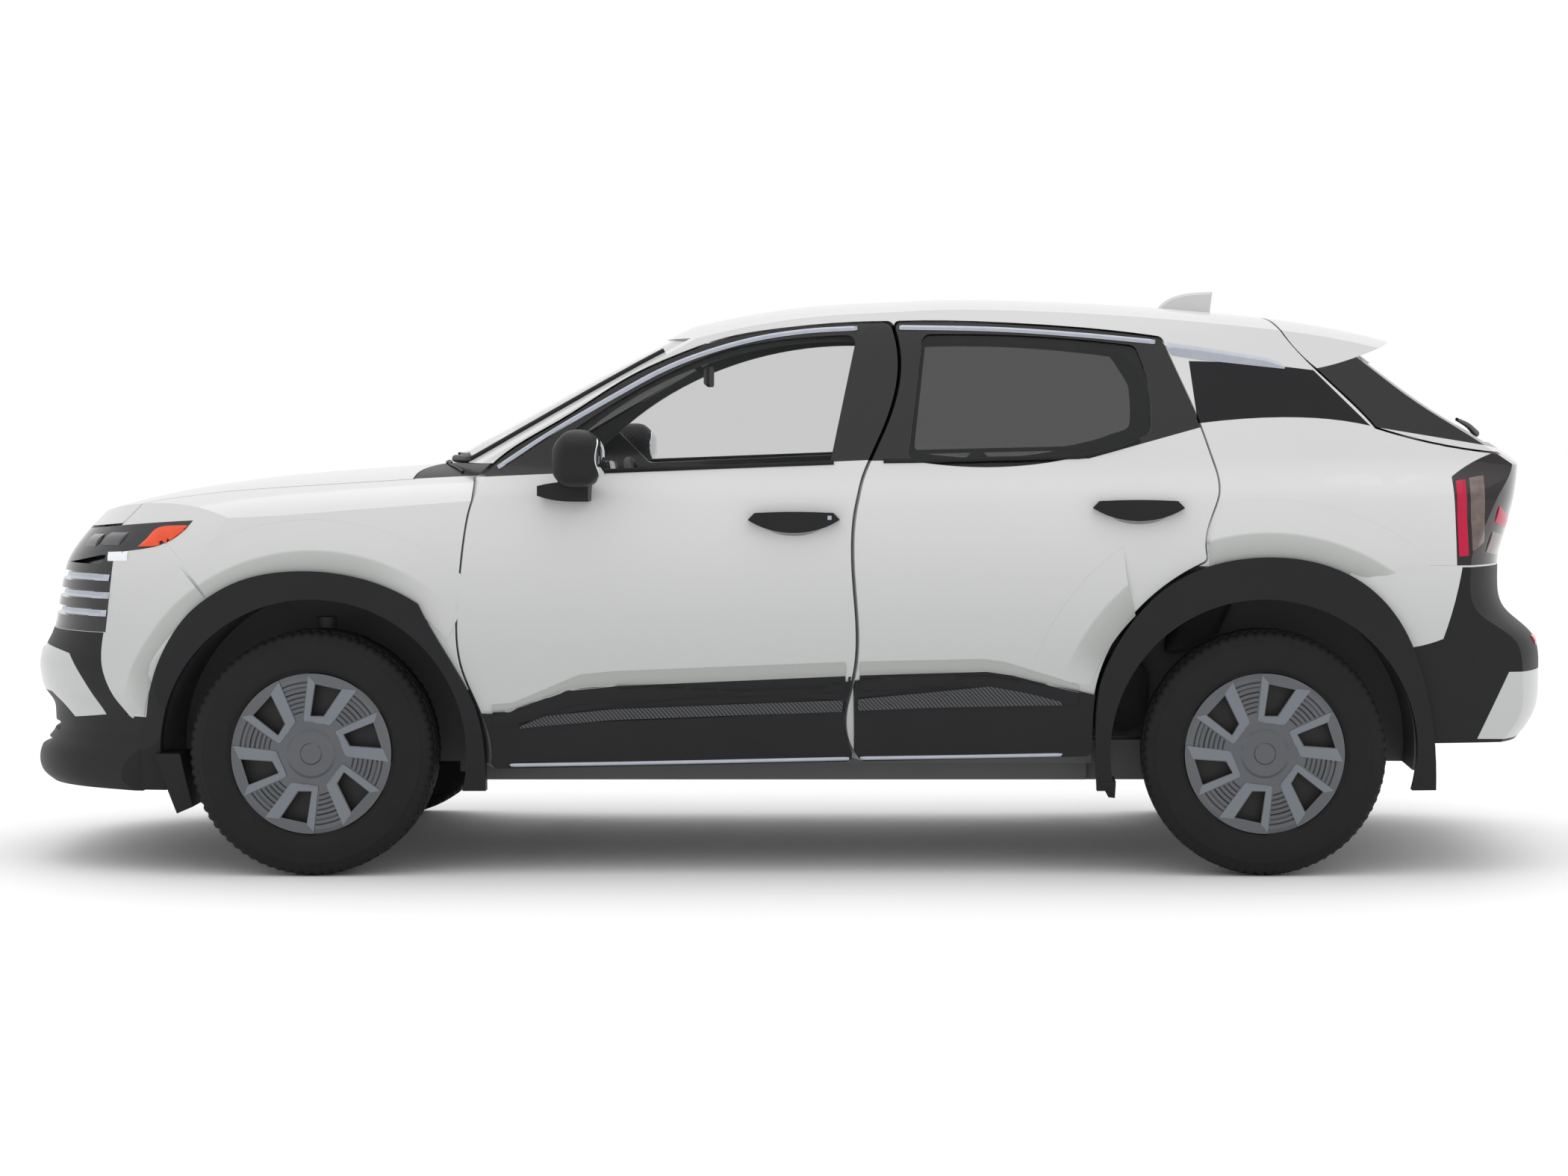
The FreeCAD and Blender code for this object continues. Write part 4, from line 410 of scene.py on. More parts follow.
def eased(points, spacing=0.02):
    """A smooth open line through points, with points about that far apart."""
    pts = [Vector(p) for p in points]
    result = []
    for i, (p1, p2) in enumerate(zip(pts, pts[1:])):
        p0 = pts[i - 1] if i > 0 else p1 * 2 - p2
        p3 = pts[i + 2] if i + 2 < len(pts) else p2 * 2 - p1
        parts = max(1, int((p2 - p1).length / spacing))
        for k in range(parts):
            t = k / parts
            result.append(0.5 * ((2 * p1) + (p2 - p0) * t + (2 * p0 - 5 * p1 + 4 * p2 - p3) * t * t
                                 + (3 * p1 - p0 - 3 * p2 + p3) * t ** 3))
    return result + [pts[-1]]


STRIP_SINK = 0.002


def strip(name, tree, line, side, width, rise, finish, body):
    """A raised band along a line of (x, z) that lies on the skin."""
    section = ((-0.5, -STRIP_SINK), (-0.5, rise * 0.5), (-0.32, rise), (0.32, rise),
               (0.5, rise * 0.5), (0.5, -STRIP_SINK))
    path = eased(line)
    rows = []
    for i, p in enumerate(path):
        here = on_side(tree, p[0], p[1], side)
        if here is None:
            continue
        point, normal = here
        before, after = path[max(i - 1, 0)], path[min(i + 1, len(path) - 1)]
        run = Vector((after[0] - before[0], 0, after[1] - before[1])).normalized()
        cross = run.cross(normal).normalized()
        rows.append([point + cross * (share * width) + normal * lift for share, lift in section])
    return new_piece(name, *loft(rows), finish, body)


# ---------------------------------------------------------------- tyres with tread

GROOVE_DEPTH = 0.0065
TREAD_STEPS = 234
SHOULDER, BLOCKS = 1, 2                             # where the tread is cut across
SHOULDER_EVERY, SHOULDER_CUT = 3, 0.0055
BLOCKS_EVERY, BLOCKS_CUT, BLOCKS_SHIFT = 9, 0.004, (1, 4)
# Radius, distance from the middle plane, and kind of cut, from the bead over the wall to the tread
TYRE_HALF_PROFILE = [
    (0.2035, 0.0815, 0), (0.212, 0.0835, 0), (0.2175, 0.0865, 0), (0.2215, 0.0905, 0),
    (0.229, 0.0965, 0), (0.2335, 0.0985, 0), (0.2345, 0.1000, 0), (0.2385, 0.1015, 0),
    (0.252, 0.1055, 0), (0.268, TYRE_WIDTH / 2, 0), (0.286, 0.1070, 0), (0.300, 0.1048, 0),
    (0.3035, 0.1052, 0), (0.306, 0.1042, 0), (0.3085, 0.1018, 0), (0.318, 0.0985, SHOULDER),
    (0.329, 0.0935, SHOULDER), (0.3355, 0.0865, SHOULDER),
    (TYRE_RADIUS - 0.003, 0.0780, SHOULDER), (TYRE_RADIUS - 0.0016, 0.0600, SHOULDER),
    (TYRE_RADIUS - 0.0016 - GROOVE_DEPTH, 0.0590, 0),
    (TYRE_RADIUS - 0.0014 - GROOVE_DEPTH, 0.0515, 0),
    (TYRE_RADIUS - 0.0010, 0.0505, BLOCKS), (TYRE_RADIUS - 0.0005, 0.0235, BLOCKS),
    (TYRE_RADIUS - 0.0005 - GROOVE_DEPTH, 0.0225, 0),
    (TYRE_RADIUS - 0.0003 - GROOVE_DEPTH, 0.0150, 0),
    (TYRE_RADIUS, 0.0140, 0), (TYRE_RADIUS, 0.0, 0)]


def tread_cut(kind, out, step):
    """How deep the tread is cut at a step round the tyre."""
    if kind == SHOULDER and step % SHOULDER_EVERY == 0:
        return SHOULDER_CUT
    if kind == BLOCKS and (step + BLOCKS_SHIFT[out < 0]) % BLOCKS_EVERY == 0:
        return BLOCKS_CUT
    return 0.0


def tyre_mesh(name, centre, body, node):
    """Road tyre: four grooves round it, cut shoulder blocks and plain banded walls."""
    full = TYRE_HALF_PROFILE + [(a, -b, c) for a, b, c in TYRE_HALF_PROFILE[-2::-1]]
    n = len(full)
    verts, faces = [], []
    for i in range(TREAD_STEPS):
        angle = 2 * math.pi * i / TREAD_STEPS
        for radius, out, kind in full:
            here = radius - tread_cut(kind, out, i)
            verts.append((centre[0] + here * math.sin(angle), centre[1] + out,
                          centre[2] + here * math.cos(angle)))
        j = (i + 1) % TREAD_STEPS
        faces += [(i * n + k, i * n + (k + 1) % n, j * n + (k + 1) % n, j * n + k)
                  for k in range(n)]
    obj = new_piece(name, verts, faces, "tyre_rubber", body)
    split_edges(obj, 38)
    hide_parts(node)


for end, axle_x in (("front", FRONT_AXLE), ("rear", REAR_AXLE)):
    for side_name, side in SIDES.items():
        tyre_mesh(f"road_tyre_{end}_{side_name}", (axle_x, side * HALF_TRACK, TYRE_RADIUS),
                  f"wheel_{end}_{side_name}", f"tyre_{end}_{side_name}")

# ---------------------------------------------------------------- pieces laid on the skin

VIEWS = {
    "left": (lambda a, b: Vector((a, -SIDE_REACH, b)), Vector((0, 1, 0))),
    "right": (lambda a, b: Vector((a, SIDE_REACH, b)), Vector((0, -1, 0))),
    "front": (lambda a, b: Vector((-END_REACH, a, b)), Vector((1, 0, 0))),
    "rear": (lambda a, b: Vector((END_REACH, a, b)), Vector((-1, 0, 0))),
    "top": (lambda a, b: Vector((a, b, END_REACH)), Vector((0, 0, -1))),
}


def cast(tree, view, a, b):
    """Point on the skin and the way out of it, seen along one of the views."""
    start, way = VIEWS[view]
    hit, normal, _, _ = tree.ray_cast(start(a, b), way)
    if hit is None:
        return None
    if normal.dot(way) > 0:
        normal = -normal
    return hit, (normal - way).normalized()


def shells(name, patches, finish, body, split=40):
    """One piece of closed patches, each between an outer and an inner grid of points."""
    verts, faces = [], []
    for outer, inner in patches:
        start = len(verts)
        rows, columns = len(outer), len(outer[0])
        half = rows * columns
        verts += [p for row in outer for p in row] + [p for row in inner for p in row]
        for a in (start + i * columns + k for i in range(rows - 1) for k in range(columns - 1)):
            faces.append((a, a + 1, a + columns + 1, a + columns))
            faces.append((half + a, half + a + columns, half + a + columns + 1, half + a + 1))
        rim = [(i * columns + k, columns) for i in range(rows - 1) for k in (0, columns - 1)]
        rim += [(i * columns + k, 1) for k in range(columns - 1) for i in (0, rows - 1)]
        for a, step in ((start + place, step) for place, step in rim):
            faces.append((a, a + step, half + a + step, half + a))
    obj = new_piece(name, verts, faces, finish, body)
    split_edges(obj, split)
    return obj


def evenly(points, count, ease=True):
    """That many points along a line, at even distances."""
    line = eased([(p[0], 0, p[1]) for p in points], 0.01) if ease and len(points) > 2 else \
        [Vector((p[0], 0, p[1])) for p in points]
    lengths = [0.0]
    for a, b in zip(line, line[1:]):
        lengths.append(lengths[-1] + (b - a).length)
    result = []
    k = 0
    for i in range(count):
        want = lengths[-1] * i / (count - 1)
        while k < len(line) - 2 and lengths[k + 1] < want:
            k += 1
        part = (want - lengths[k]) / max(lengths[k + 1] - lengths[k], 1e-9)
        p = line[k].lerp(line[k + 1], min(max(part, 0), 1))
        result.append((p.x, p.z))
    return result


def between(first, second, columns):
    """Rows of flat points from one line to another, with how far each is on its way."""
    return [[(a[0] * (1 - t) + b[0] * t, a[1] * (1 - t) + b[1] * t, t)
             for t in (k / (columns - 1) for k in range(columns))] for a, b in zip(first, second)]


def square(rows, columns):
    """Rows of places over a square that runs from -1 to 1 each way."""
    return [[(2 * i / (rows - 1) - 1, 2 * k / (columns - 1) - 1) for k in range(columns)]
            for i in range(rows)]


def grids(rows, place):
    """Outer and inner grid of a patch, from a rule that gives both points for each flat place."""
    pairs = [[place(*spot) for spot in row] for row in rows]
    return tuple([[pair[n] for pair in row] for row in pairs] for n in (0, 1))


def ribbon(name, tree, rail_a, rail_b, view, lift, sink, finish, body, count=24, columns=6,
           crown=0.0, ease=True):
    """A patch between two lines on the skin, raised by a lift and crowned in its middle."""
    here = None

    def place(a, b, part):
        nonlocal here
        here = cast(tree, view, a, b) or here
        point, way = here
        return point + way * (lift + crown * (1 - (2 * part - 1) ** 2)), point - way * sink

    rows = between(evenly(rail_a, count, ease), evenly(rail_b, count, ease), columns)
    return shells(name, [grids(rows, place)], finish, body)


skins = {key: skin_of(*names) for key, names in {
    "front_wings": ("front_fenders", "front_bumper"),
    "sides": ("body_sides",),
    "quarters": ("quarter_trims", "body_sides"),
    "headlamps": ("headlamps", "grille", "front_bumper"),
    "grille": ("grille",),
    "front_low": ("front_bumper_lower", "front_bumper_chin", "grille"),
    "tail_lamps": ("tail_lamps", "body_sides"),
    "tail": ("tailgate", "tail_lamps"),
    "rear_low": ("rear_bumper_lower", "rear_bumper_accent"),
    "spoiler": ("roof_spoiler",),
    "rear_glass": ("rear_window", "tailgate"),
    "screen": ("windscreen", "cowl", "bonnet"),
    "screen_only": ("windscreen",),
}.items()}
door_skins = {f"{end}_{side}": skin_of(f"{end}_door_{side}", f"{end}_door_trim_{side}")
              for end in ("front", "rear") for side in SIDES}
door_paint = {f"{end}_{side}": skin_of(f"{end}_door_{side}")
              for end in ("front", "rear") for side in SIDES}


# ---------------------------------------------------------------- flares over the wheel arches

def mark_painted_shade(obj, values):
    """Writes how much painted shade each point gets, for the paint to darken it."""
    field = obj.data.attributes.new("fold", "FLOAT", "POINT")
    for i, value in enumerate(values):
        field.data[i].value = value


FLARE_ROWS, SWELL_STEPS = 60, 7
CREASE_HALF, FOLD_LIFT, EDGE_LIFT, FLARE_SINK = 0.004, 0.0016, 0.0004, 0.0012
# Painted shade on the first points of a flare's section, from its inner edge to the crease
FOLD_SHADES = (0.92, 0.80, 0.62)


def flare_profile(radii, rise):
    """Radius and height of a flare's section: up to the crease, then down to the skin."""
    inner_r, crease_r, outer_r = radii
    profile = [(inner_r, 0.0008), (inner_r * 0.5 + crease_r * 0.5, rise * 0.55),
               (crease_r - CREASE_HALF, rise), (crease_r + CREASE_HALF, rise * 1.02)]
    for part in (k / SWELL_STEPS for k in range(1, SWELL_STEPS + 1)):
        profile.append((crease_r + (outer_r - crease_r) * part,
                        rise * (1 - part) ** 2 * (1 + 2 * part) + EDGE_LIFT * part))
    return profile


def flare(name, tree, centre, radii, starts, ends, rise, side_name, body, fades):
    """A pressed flare over an arch, between angles given for its inner and its outer edge."""
    side = SIDES[side_name]
    outer, inner, shade_marks = [], [], []
    for t in (i / (FLARE_ROWS - 1) for i in range(FLARE_ROWS)):
        fade = 1.0
        if t < fades[0]:
            fade = t / fades[0]
        if fades[1] and t > 1 - fades[1]:
            fade = (1 - t) / fades[1]
        fade = fade * fade * (3 - 2 * fade)
        row = []
        for radius, high in flare_profile(radii, rise):
            share = (radius - radii[0]) / (radii[2] - radii[0])
            start = starts[0] * (1 - share) + starts[1] * share
            end = ends[0] * (1 - share) + ends[1] * share
            angle = math.radians(start * (1 - t) + end * t)
            x, z = centre[0] + radius * math.cos(angle), centre[1] + radius * math.sin(angle)
            row.append((x, z, high * fade, cast(tree, side_name, x, z)))
        depths = [here[0].y for _, _, _, here in row if here]
        if not depths:
            continue
        outer.append([])
        inner.append([])
        for x, z, high, here in row:
            y = here[0].y if here else depths[0]
            least = FOLD_LIFT if len(outer[-1]) < len(FOLD_SHADES) else EDGE_LIFT
            outer[-1].append(Vector((x, y + side * (high + least), z)))
            inner[-1].append(Vector((x, y - side * FLARE_SINK, z)))
        # painted shade on the band between the cladding and the crease, fading toward the ends
        shade_marks += [fade * shade for shade in FOLD_SHADES] + [0.0] * (len(row) - len(FOLD_SHADES))
    piece = shells(name, [(outer, inner)], "paint_fold", body)
    mark_painted_shade(piece, shade_marks + shade_marks)


FRONT_ARCH = (FRONT_AXLE, TYRE_RADIUS)
REAR_ARCH = (REAR_AXLE + 0.012, TYRE_RADIUS + 0.007)
FRONT_RISE, REAR_RISE = 0.0075, 0.0080
BUMPER_RADII, FENDER_RADII = (0.492, 0.566, 0.64), (0.492, 0.566, 0.65)
REAR_RADII = (0.530, 0.608, 0.70)
for side_name in SIDES:
    flare(f"flare_front_bumper_{side_name}", skins["front_wings"], FRONT_ARCH, BUMPER_RADII,
          (176, 157), (124.4, 125.8), FRONT_RISE, side_name, "body", (0.35, 0))
    flare(f"flare_fender_{side_name}", skins["front_wings"], FRONT_ARCH, FENDER_RADII,
          (123.6, 125.0), (40, 47), FRONT_RISE, side_name, "body", (0, 0.45))
    flare(f"flare_rear_door_{side_name}", door_paint[f"rear_{side_name}"], REAR_ARCH, REAR_RADII,
          (160, 163), (134.6, 125.2), REAR_RISE, side_name, f"rear_door_{side_name}", (0.45, 0))
    flare(f"flare_quarter_{side_name}", skins["sides"], REAR_ARCH, REAR_RADII,
          (133.0, 123.8), (52, 44), REAR_RISE, side_name, "body", (0, 0.12))


# ---------------------------------------------------------------- door sides

DOORS = {
    "front": dict(
        rows=90,
        bright=[(-0.785, 1.138), (-0.640, 1.234), (-0.465, 1.338), (-0.325, 1.4145),
                (-0.200, 1.464), (-0.062, 1.502), (0.0765, 1.5230), (0.222, 1.5320)],
        belt=[(-0.50, 1.127), (-0.20, 1.138), (0.16, 1.152)],
        tuck_top=[(-0.790, 0.478), (-0.735, 0.482), (-0.545, 0.562), (-0.45, 0.571),
                  (-0.10, 0.585), (0.195, 0.597)],
        tuck_low=[(-0.790, 0.456), (-0.745, 0.457), (-0.58, 0.517), (-0.45, 0.530),
                  (-0.10, 0.545), (0.195, 0.558)],
        ribs_top=[(-0.708, 0.420), (-0.644, 0.447), (-0.45, 0.466), (-0.10, 0.480),
                  (0.190, 0.491)],
        ribs_low=[(-0.716, 0.411), (-0.66, 0.418), (-0.45, 0.436), (-0.10, 0.449),
                  (0.185, 0.459)],
        sill=[(-0.745, 0.3075), (-0.30, 0.3155), (0.205, 0.3265)]),
    "rear": dict(
        rows=80,
        bright=[(0.262, 1.5350), (0.60, 1.529), (0.85, 1.513), (1.070, 1.4925)],
        belt=[(0.30, 1.156), (0.60, 1.159), (0.80, 1.162), (0.93, 1.185), (1.02, 1.215)],
        tuck_top=[(0.235, 0.598), (0.58, 0.605), (0.64, 0.597), (0.80, 0.548), (0.845, 0.534)],
        tuck_low=[(0.235, 0.560), (0.59, 0.570), (0.66, 0.560), (0.80, 0.523), (0.845, 0.513)],
        ribs_top=[(0.230, 0.494), (0.42, 0.512), (0.597, 0.530), (0.70, 0.512), (0.795, 0.488)],
        ribs_low=[(0.230, 0.462), (0.42, 0.470), (0.60, 0.474), (0.70, 0.476), (0.80, 0.477)],
        sill=[(0.235, 0.3275), (0.55, 0.3325), (0.80, 0.3375)]),
}
BRIGHT_SIZE, BELT_SIZE, SILL_SIZE = (0.016, 0.004), (0.013, 0.005), (0.011, 0.003)
# Painted shade laid over the whole tuck band above the cladding
TUCK_SHADE = 0.95
# Height over the skin and depth below it of what is laid on the doors
TUCK_LAY, EDGE_LAY = (0.0015, 0.002), (0.0022, 0.002)
RIBS_LAY, RETURN_LAY = (0.0042, 0.001), (0.0012, 0.001)
CLADDING_EDGE = 0.042
RETURN_X, RETURN_Z = (0.203, 0.2118), (0.335, 0.556)
LOCK_X, LOCK_Z = (0.146, 0.157), (1.006, 0.995)


def door_side(end, door, side_name, side):
    """Bright line, belt rubber, tuck in painted shade, edge and ribs of the cladding, with painted
    highlight and shade on the ribs, and sill line of a door.
    """
    body = f"{end}_door_{side_name}"
    paint, skin = door_paint[f"{end}_{side_name}"], door_skins[f"{end}_{side_name}"]
    strip(f"{end}_bright_strip_{side_name}", paint, door["bright"], side, *BRIGHT_SIZE,
          "chrome", body)
    strip(f"{end}_belt_seal_{side_name}", paint, door["belt"], side, *BELT_SIZE,
          "dark_plastic", body)
    # the tuck: a crowned band in painted shade
    tuck = ribbon(f"{end}_door_tuck_{side_name}", skin, door["tuck_top"], door["tuck_low"],
                  side_name, *TUCK_LAY, "paint_fold", body, count=door["rows"], crown=0.004,
                  ease=False)
    mark_painted_shade(tuck, [TUCK_SHADE] * len(tuck.data.vertices))
    ribbon(f"{end}_cladding_edge_{side_name}", skin, door["tuck_low"],
           [(a, b - CLADDING_EDGE) for a, b in door["tuck_low"]], side_name, *EDGE_LAY,
           "dark_plastic", body, count=door["rows"], crown=0.0015, ease=False)
    ribbon(f"{end}_cladding_strip_{side_name}", skin, door["ribs_top"], door["ribs_low"],
           side_name, *RIBS_LAY, "ribbed", body, count=door["rows"], crown=0.001, ease=False)
    strip(f"{end}_sill_line_{side_name}", skin, door["sill"], side, *SILL_SIZE, "chrome", body)


for side_name, side in SIDES.items():
    for end, door in DOORS.items():
        door_side(end, door, side_name, side)
    # the dark return at the front door's end
    ribbon(f"cladding_return_{side_name}", door_skins[f"front_{side_name}"],
           *([(x, z) for z in RETURN_Z] for x in RETURN_X), side_name, *RETURN_LAY,
           "dark_plastic", f"front_door_{side_name}", count=30, columns=4, ease=False)
    # silver panel over the dark quarter trim
    ribbon(f"quarter_bright_panel_{side_name}", skins["quarters"],
           [(1.093, 1.492), (1.24, 1.470), (1.388, 1.444), (1.438, 1.421)],
           [(1.117, 1.455), (1.20, 1.442), (1.34, 1.426), (1.436, 1.416)], side_name,
           0.0015, 0.002, "chrome", "body", count=30, crown=0.002)

# lock barrel in the end of the driver's handle
ribbon("front_lock_barrel", door_skins["front_left"], *([(x, z) for x in LOCK_X] for z in LOCK_Z),
       "left", 0.001, 0.002, "chrome", "front_door_left", count=5, columns=5, crown=0.001,
       ease=False)

# ---------------------------------------------------------------- lamps and grille

PROJECTORS = ((0.575, 0.925), (0.655, 0.932))
SLOT_Y, SLOT_LOW, SLOT_STEP = (0.48, 0.62, 0.725), 0.7235, 0.050
# Lamp parts on the side of the tail lamp (X, Z) and on its back (Y, Z): name, two lines, finish
TAIL_SIDE = (
    ("tail_bar", [(1.910, 0.890), (1.906, 1.00), (1.908, 1.100)],
     [(1.938, 0.893), (1.934, 1.00), (1.936, 1.104)], "lamp_glow"),
    ("tail_lens", [(1.949, 0.905), (1.945, 1.00), (1.947, 1.108)],
     [(1.985, 0.930), (1.985, 1.00), (1.990, 1.115)], "copper_lens"),
)
TAIL_BACK = (
    ("tail_band", [(0.655, 1.000), (0.72, 1.010), (0.775, 1.030)],
     [(0.655, 0.965), (0.72, 0.972), (0.775, 0.985)], "lamp_glow"),
    ("tail_lens_back", [(0.655, 0.945), (0.72, 0.950), (0.775, 0.958)],
     [(0.655, 0.890), (0.72, 0.893), (0.775, 0.900)], "copper_lens"),
)


def flipped(line, side):
    """A line of (y, z) on that side of the car."""
    return [(side * y, z) for y, z in line]


for side_name, side in SIDES.items():
    # amber marker in the rear half of the headlamp
    ribbon(f"amber_marker_{side_name}", skins["headlamps"],
           [(-1.806, 0.914), (-1.778, 0.938), (-1.759, 0.960), (-1.726, 0.972), (-1.648, 0.976)],
           [(-1.800, 0.9135), (-1.752, 0.917), (-1.716, 0.927), (-1.690, 0.943), (-1.646, 0.974)],
           side_name, 0.0032, 0.003, "amber", "body", count=30, crown=0.003)
    # pale running light under the lamp
    ribbon(f"running_light_{side_name}", skins["headlamps"],
           [(-1.838, 0.900), (-1.87, 0.898), (-1.903, 0.896)],
           [(-1.838, 0.874), (-1.87, 0.872), (-1.903, 0.871)],
           side_name, 0.001, 0.004, "lamp_white", "body", count=20, crown=0.003)
    # dark projector lenses seen from the front
    for number, (y, z) in enumerate(PROJECTORS):
        ribbon(f"projector_{number}_{side_name}", skins["headlamps"],
               flipped([(y - 0.028, z + 0.018), (y + 0.028, z + 0.020)], side),
               flipped([(y - 0.028, z - 0.018), (y + 0.028, z - 0.016)], side),
               "front", 0.001, 0.003, "lamp_shade", "body", count=10, columns=8, crown=0.006,
               ease=False)
    # bright inserts in the slots of the grille
    for number in range(3):
        z = SLOT_LOW + SLOT_STEP * number
        ribbon(f"grille_insert_{number}_{side_name}", skins["grille"],
               flipped([(y, z + 0.0095) for y in SLOT_Y], side),
               flipped([(y, z - 0.0085) for y in SLOT_Y], side),
               "front", 0.014, 0.004, "chrome", "body", count=30, columns=5, crown=0.003,
               ease=False)
    # rear lamp: red bar and copper section on the side, red band and copper section on the back
    for name, first, second, finish in TAIL_SIDE:
        ribbon(f"{name}_{side_name}", skins["tail_lamps"], first, second, side_name,
               0.0015, 0.003, finish, "body", count=30, crown=0.002, ease=False)
    for name, first, second, finish in TAIL_BACK:
        ribbon(f"{name}_{side_name}", skins["tail_lamps"], flipped(first, side),
               flipped(second, side), "rear", 0.0015, 0.003, finish, "body", count=24, crown=0.002)
    # the reflector takes the red lamp finish; its faint glow paints light on a part that is no lamp
    ribbon(f"rear_reflector_{side_name}", skins["rear_low"],
           flipped([(0.50, 0.655), (0.66, 0.660)], side),
           flipped([(0.50, 0.630), (0.66, 0.633)], side),
           "rear", 0.002, 0.003, "lamp_glow", "body", count=16, crown=0.002, ease=False)

# ---------------------------------------------------------------- wheel covers

# A band round each window, in shares of the cover's radius, in a paler tone as painted highlight on
# the raised frame; and grooves between the fine ribs, laid as dark strips of painted shade
COVER_RADIUS = 0.223
COVER_FACE, COVER_DEEPEST = 0.885, 0.875
BAND_OUTER = [(0.945, 0.254), (0.368, 0.179), (0.404, -0.157), (0.902, -0.380)]
BAND_INNER = [(0.875, 0.152), (0.450, 0.118), (0.484, -0.056), (0.878, -0.205)]
WINDOWS, FIRST_WINDOW = 6, 17.0
WINDOW_STEP = 360.0 / WINDOWS
GROOVES, FIRST_GROOVE, GROOVE_STEP, GROOVE_WIDTH = 7, 0.52, 0.06, 0.022


def laid(tree, side, centre, rails, count, columns, lift, sink):
    """Two grids of points between two flat lines, over and under the face of a wheel cover."""
    def place(a, b, _):
        x, z = centre[0] + a, centre[1] + b
        here = on_side(tree, x, z, side)
        y = here[0].y if here and abs(here[0].y) > COVER_DEEPEST else side * COVER_FACE
        return Vector((x, y + side * lift, z)), Vector((x, y - side * sink, z))

    return grids(between(*(evenly(rail, count, False) for rail in rails), columns), place)


def turned(points, angle):
    """Points given in shares of the cover's radius, turned about its centre."""
    return [(COVER_RADIUS * (a * math.cos(angle) - b * math.sin(angle)),
             COVER_RADIUS * (a * math.sin(angle) + b * math.cos(angle))) for a, b in points]


def groove_arc(radius, low, high, steps=8):
    """Points of an arc between two angles in degrees."""
    angles = [math.radians(low + (high - low) * step / steps) for step in range(steps + 1)]
    return [(radius * math.cos(angle), radius * math.sin(angle)) for angle in angles]


for side_name, side in SIDES.items():
    for end, axle in (("front", FRONT_AXLE), ("rear", REAR_AXLE)):
        wheel = f"wheel_{end}_{side_name}"
        cover = skin_of(f"wheel_cover_{end}_{side_name}")
        bands, grooves = [], []
        for number in range(WINDOWS):
            angle = math.radians(FIRST_WINDOW + WINDOW_STEP * number)
            bands.append(laid(cover, side, (axle, TYRE_RADIUS),
                              (turned(BAND_OUTER, angle), turned(BAND_INNER, angle)),
                              40, 4, 0.0022, 0.002))
            for ring in range(GROOVES):
                radius = FIRST_GROOVE + GROOVE_STEP * ring
                # the grooves end at the edges of the bands on both sides
                low = math.degrees(math.atan2(0.215 + 0.085 * (radius - 0.368), radius))
                high = WINDOW_STEP - math.degrees(math.atan2(0.17 + 0.41 * (radius - 0.404),
                                                             radius))
                rails = [turned(groove_arc(r, low, high), angle)
                         for r in (radius, radius + GROOVE_WIDTH)]
                grooves.append(laid(cover, side, (axle, TYRE_RADIUS), rails, 9, 3, 0.0006, 0.001))
        shells(f"cover_bands_{end}_{side_name}", bands, "cover_band", wheel, 35)
        shells(f"cover_grooves_{end}_{side_name}", grooves, "cover_groove", wheel, 35)

# ---------------------------------------------------------------- windscreen edge and plates

SCREEN_START, SCREEN_STEP, SCREEN_STEPS = -1.05, 0.02, 46
SCREEN_WIDEST, SCREEN_NARROWEST, SEARCH_STEP = 0.85, 0.3, 0.002
EDGE_GAP, EDGE_WIDTH = 0.004, 0.046
SEAL_RADIUS, SEAL_INSET, SEAL_LIFT, SEAL_SHORT = 0.011, 0.006, 0.006, 4


def screen_limit(x):
    """Half width of the windscreen at a station, or None."""
    for step in range(400):
        y = SCREEN_WIDEST - SEARCH_STEP * step
        if cast(skins["screen_only"], "top", x, y):
            return y
    return None


limits = [(x, screen_limit(x))
          for x in (SCREEN_START + SCREEN_STEP * k for k in range(SCREEN_STEPS))]
limits = [(x, y) for x, y in limits if y and y > SCREEN_NARROWEST]
for side_name, side in SIDES.items():
    # black edge painted round the windscreen
    ribbon(f"screen_edge_{side_name}", skins["screen_only"],
           [(x, side * (y - EDGE_GAP)) for x, y in limits],
           [(x, side * (y - EDGE_GAP - EDGE_WIDTH)) for x, y in limits], "top", 0.0008, 0.001,
           "gloss_black", "body", count=50, columns=5)

# Patches laid square on the ends of the car; the plates are left blank. Each: name, skin, half
# width, top, foot, view, lift, sink, finish, body, rows, columns and crown
END_PATCHES = (
    ("front_plate", "front_low", 0.255, 0.600, 0.490, "front", 0.012, 0.002, "plate_white",
     "body", 24, 8, 0.0),
    ("rear_plate_holder", "tail", 0.262, 1.078, 0.952, "rear", 0.004, 0.002, "dark_plastic",
     "tailgate", 24, 8, 0.0),
    ("rear_plate", "tail", 0.250, 1.070, 0.960, "rear", 0.0065, -0.0035, "plate_white",
     "tailgate", 24, 8, 0.0),
    ("tailgate_grip", "tail", 0.16, 0.930, 0.905, "rear", 0.010, 0.002, "gloss_black",
     "tailgate", 24, 6, 0.005),
    ("high_brake_light", "spoiler", 0.16, 1.497, 1.485, "rear", 0.003, 0.003, "lamp_glow",
     "tailgate", 20, 5, 0.002),
)
for name, skin, half, top, foot, *lay, rows, columns, crown in END_PATCHES:
    ribbon(name, skins[skin], [(-half, top), (half, top)], [(-half, foot), (half, foot)], *lay,
           count=rows, columns=columns, crown=crown, ease=False)


# ---------------------------------------------------------------- tubes, wipers and small parts

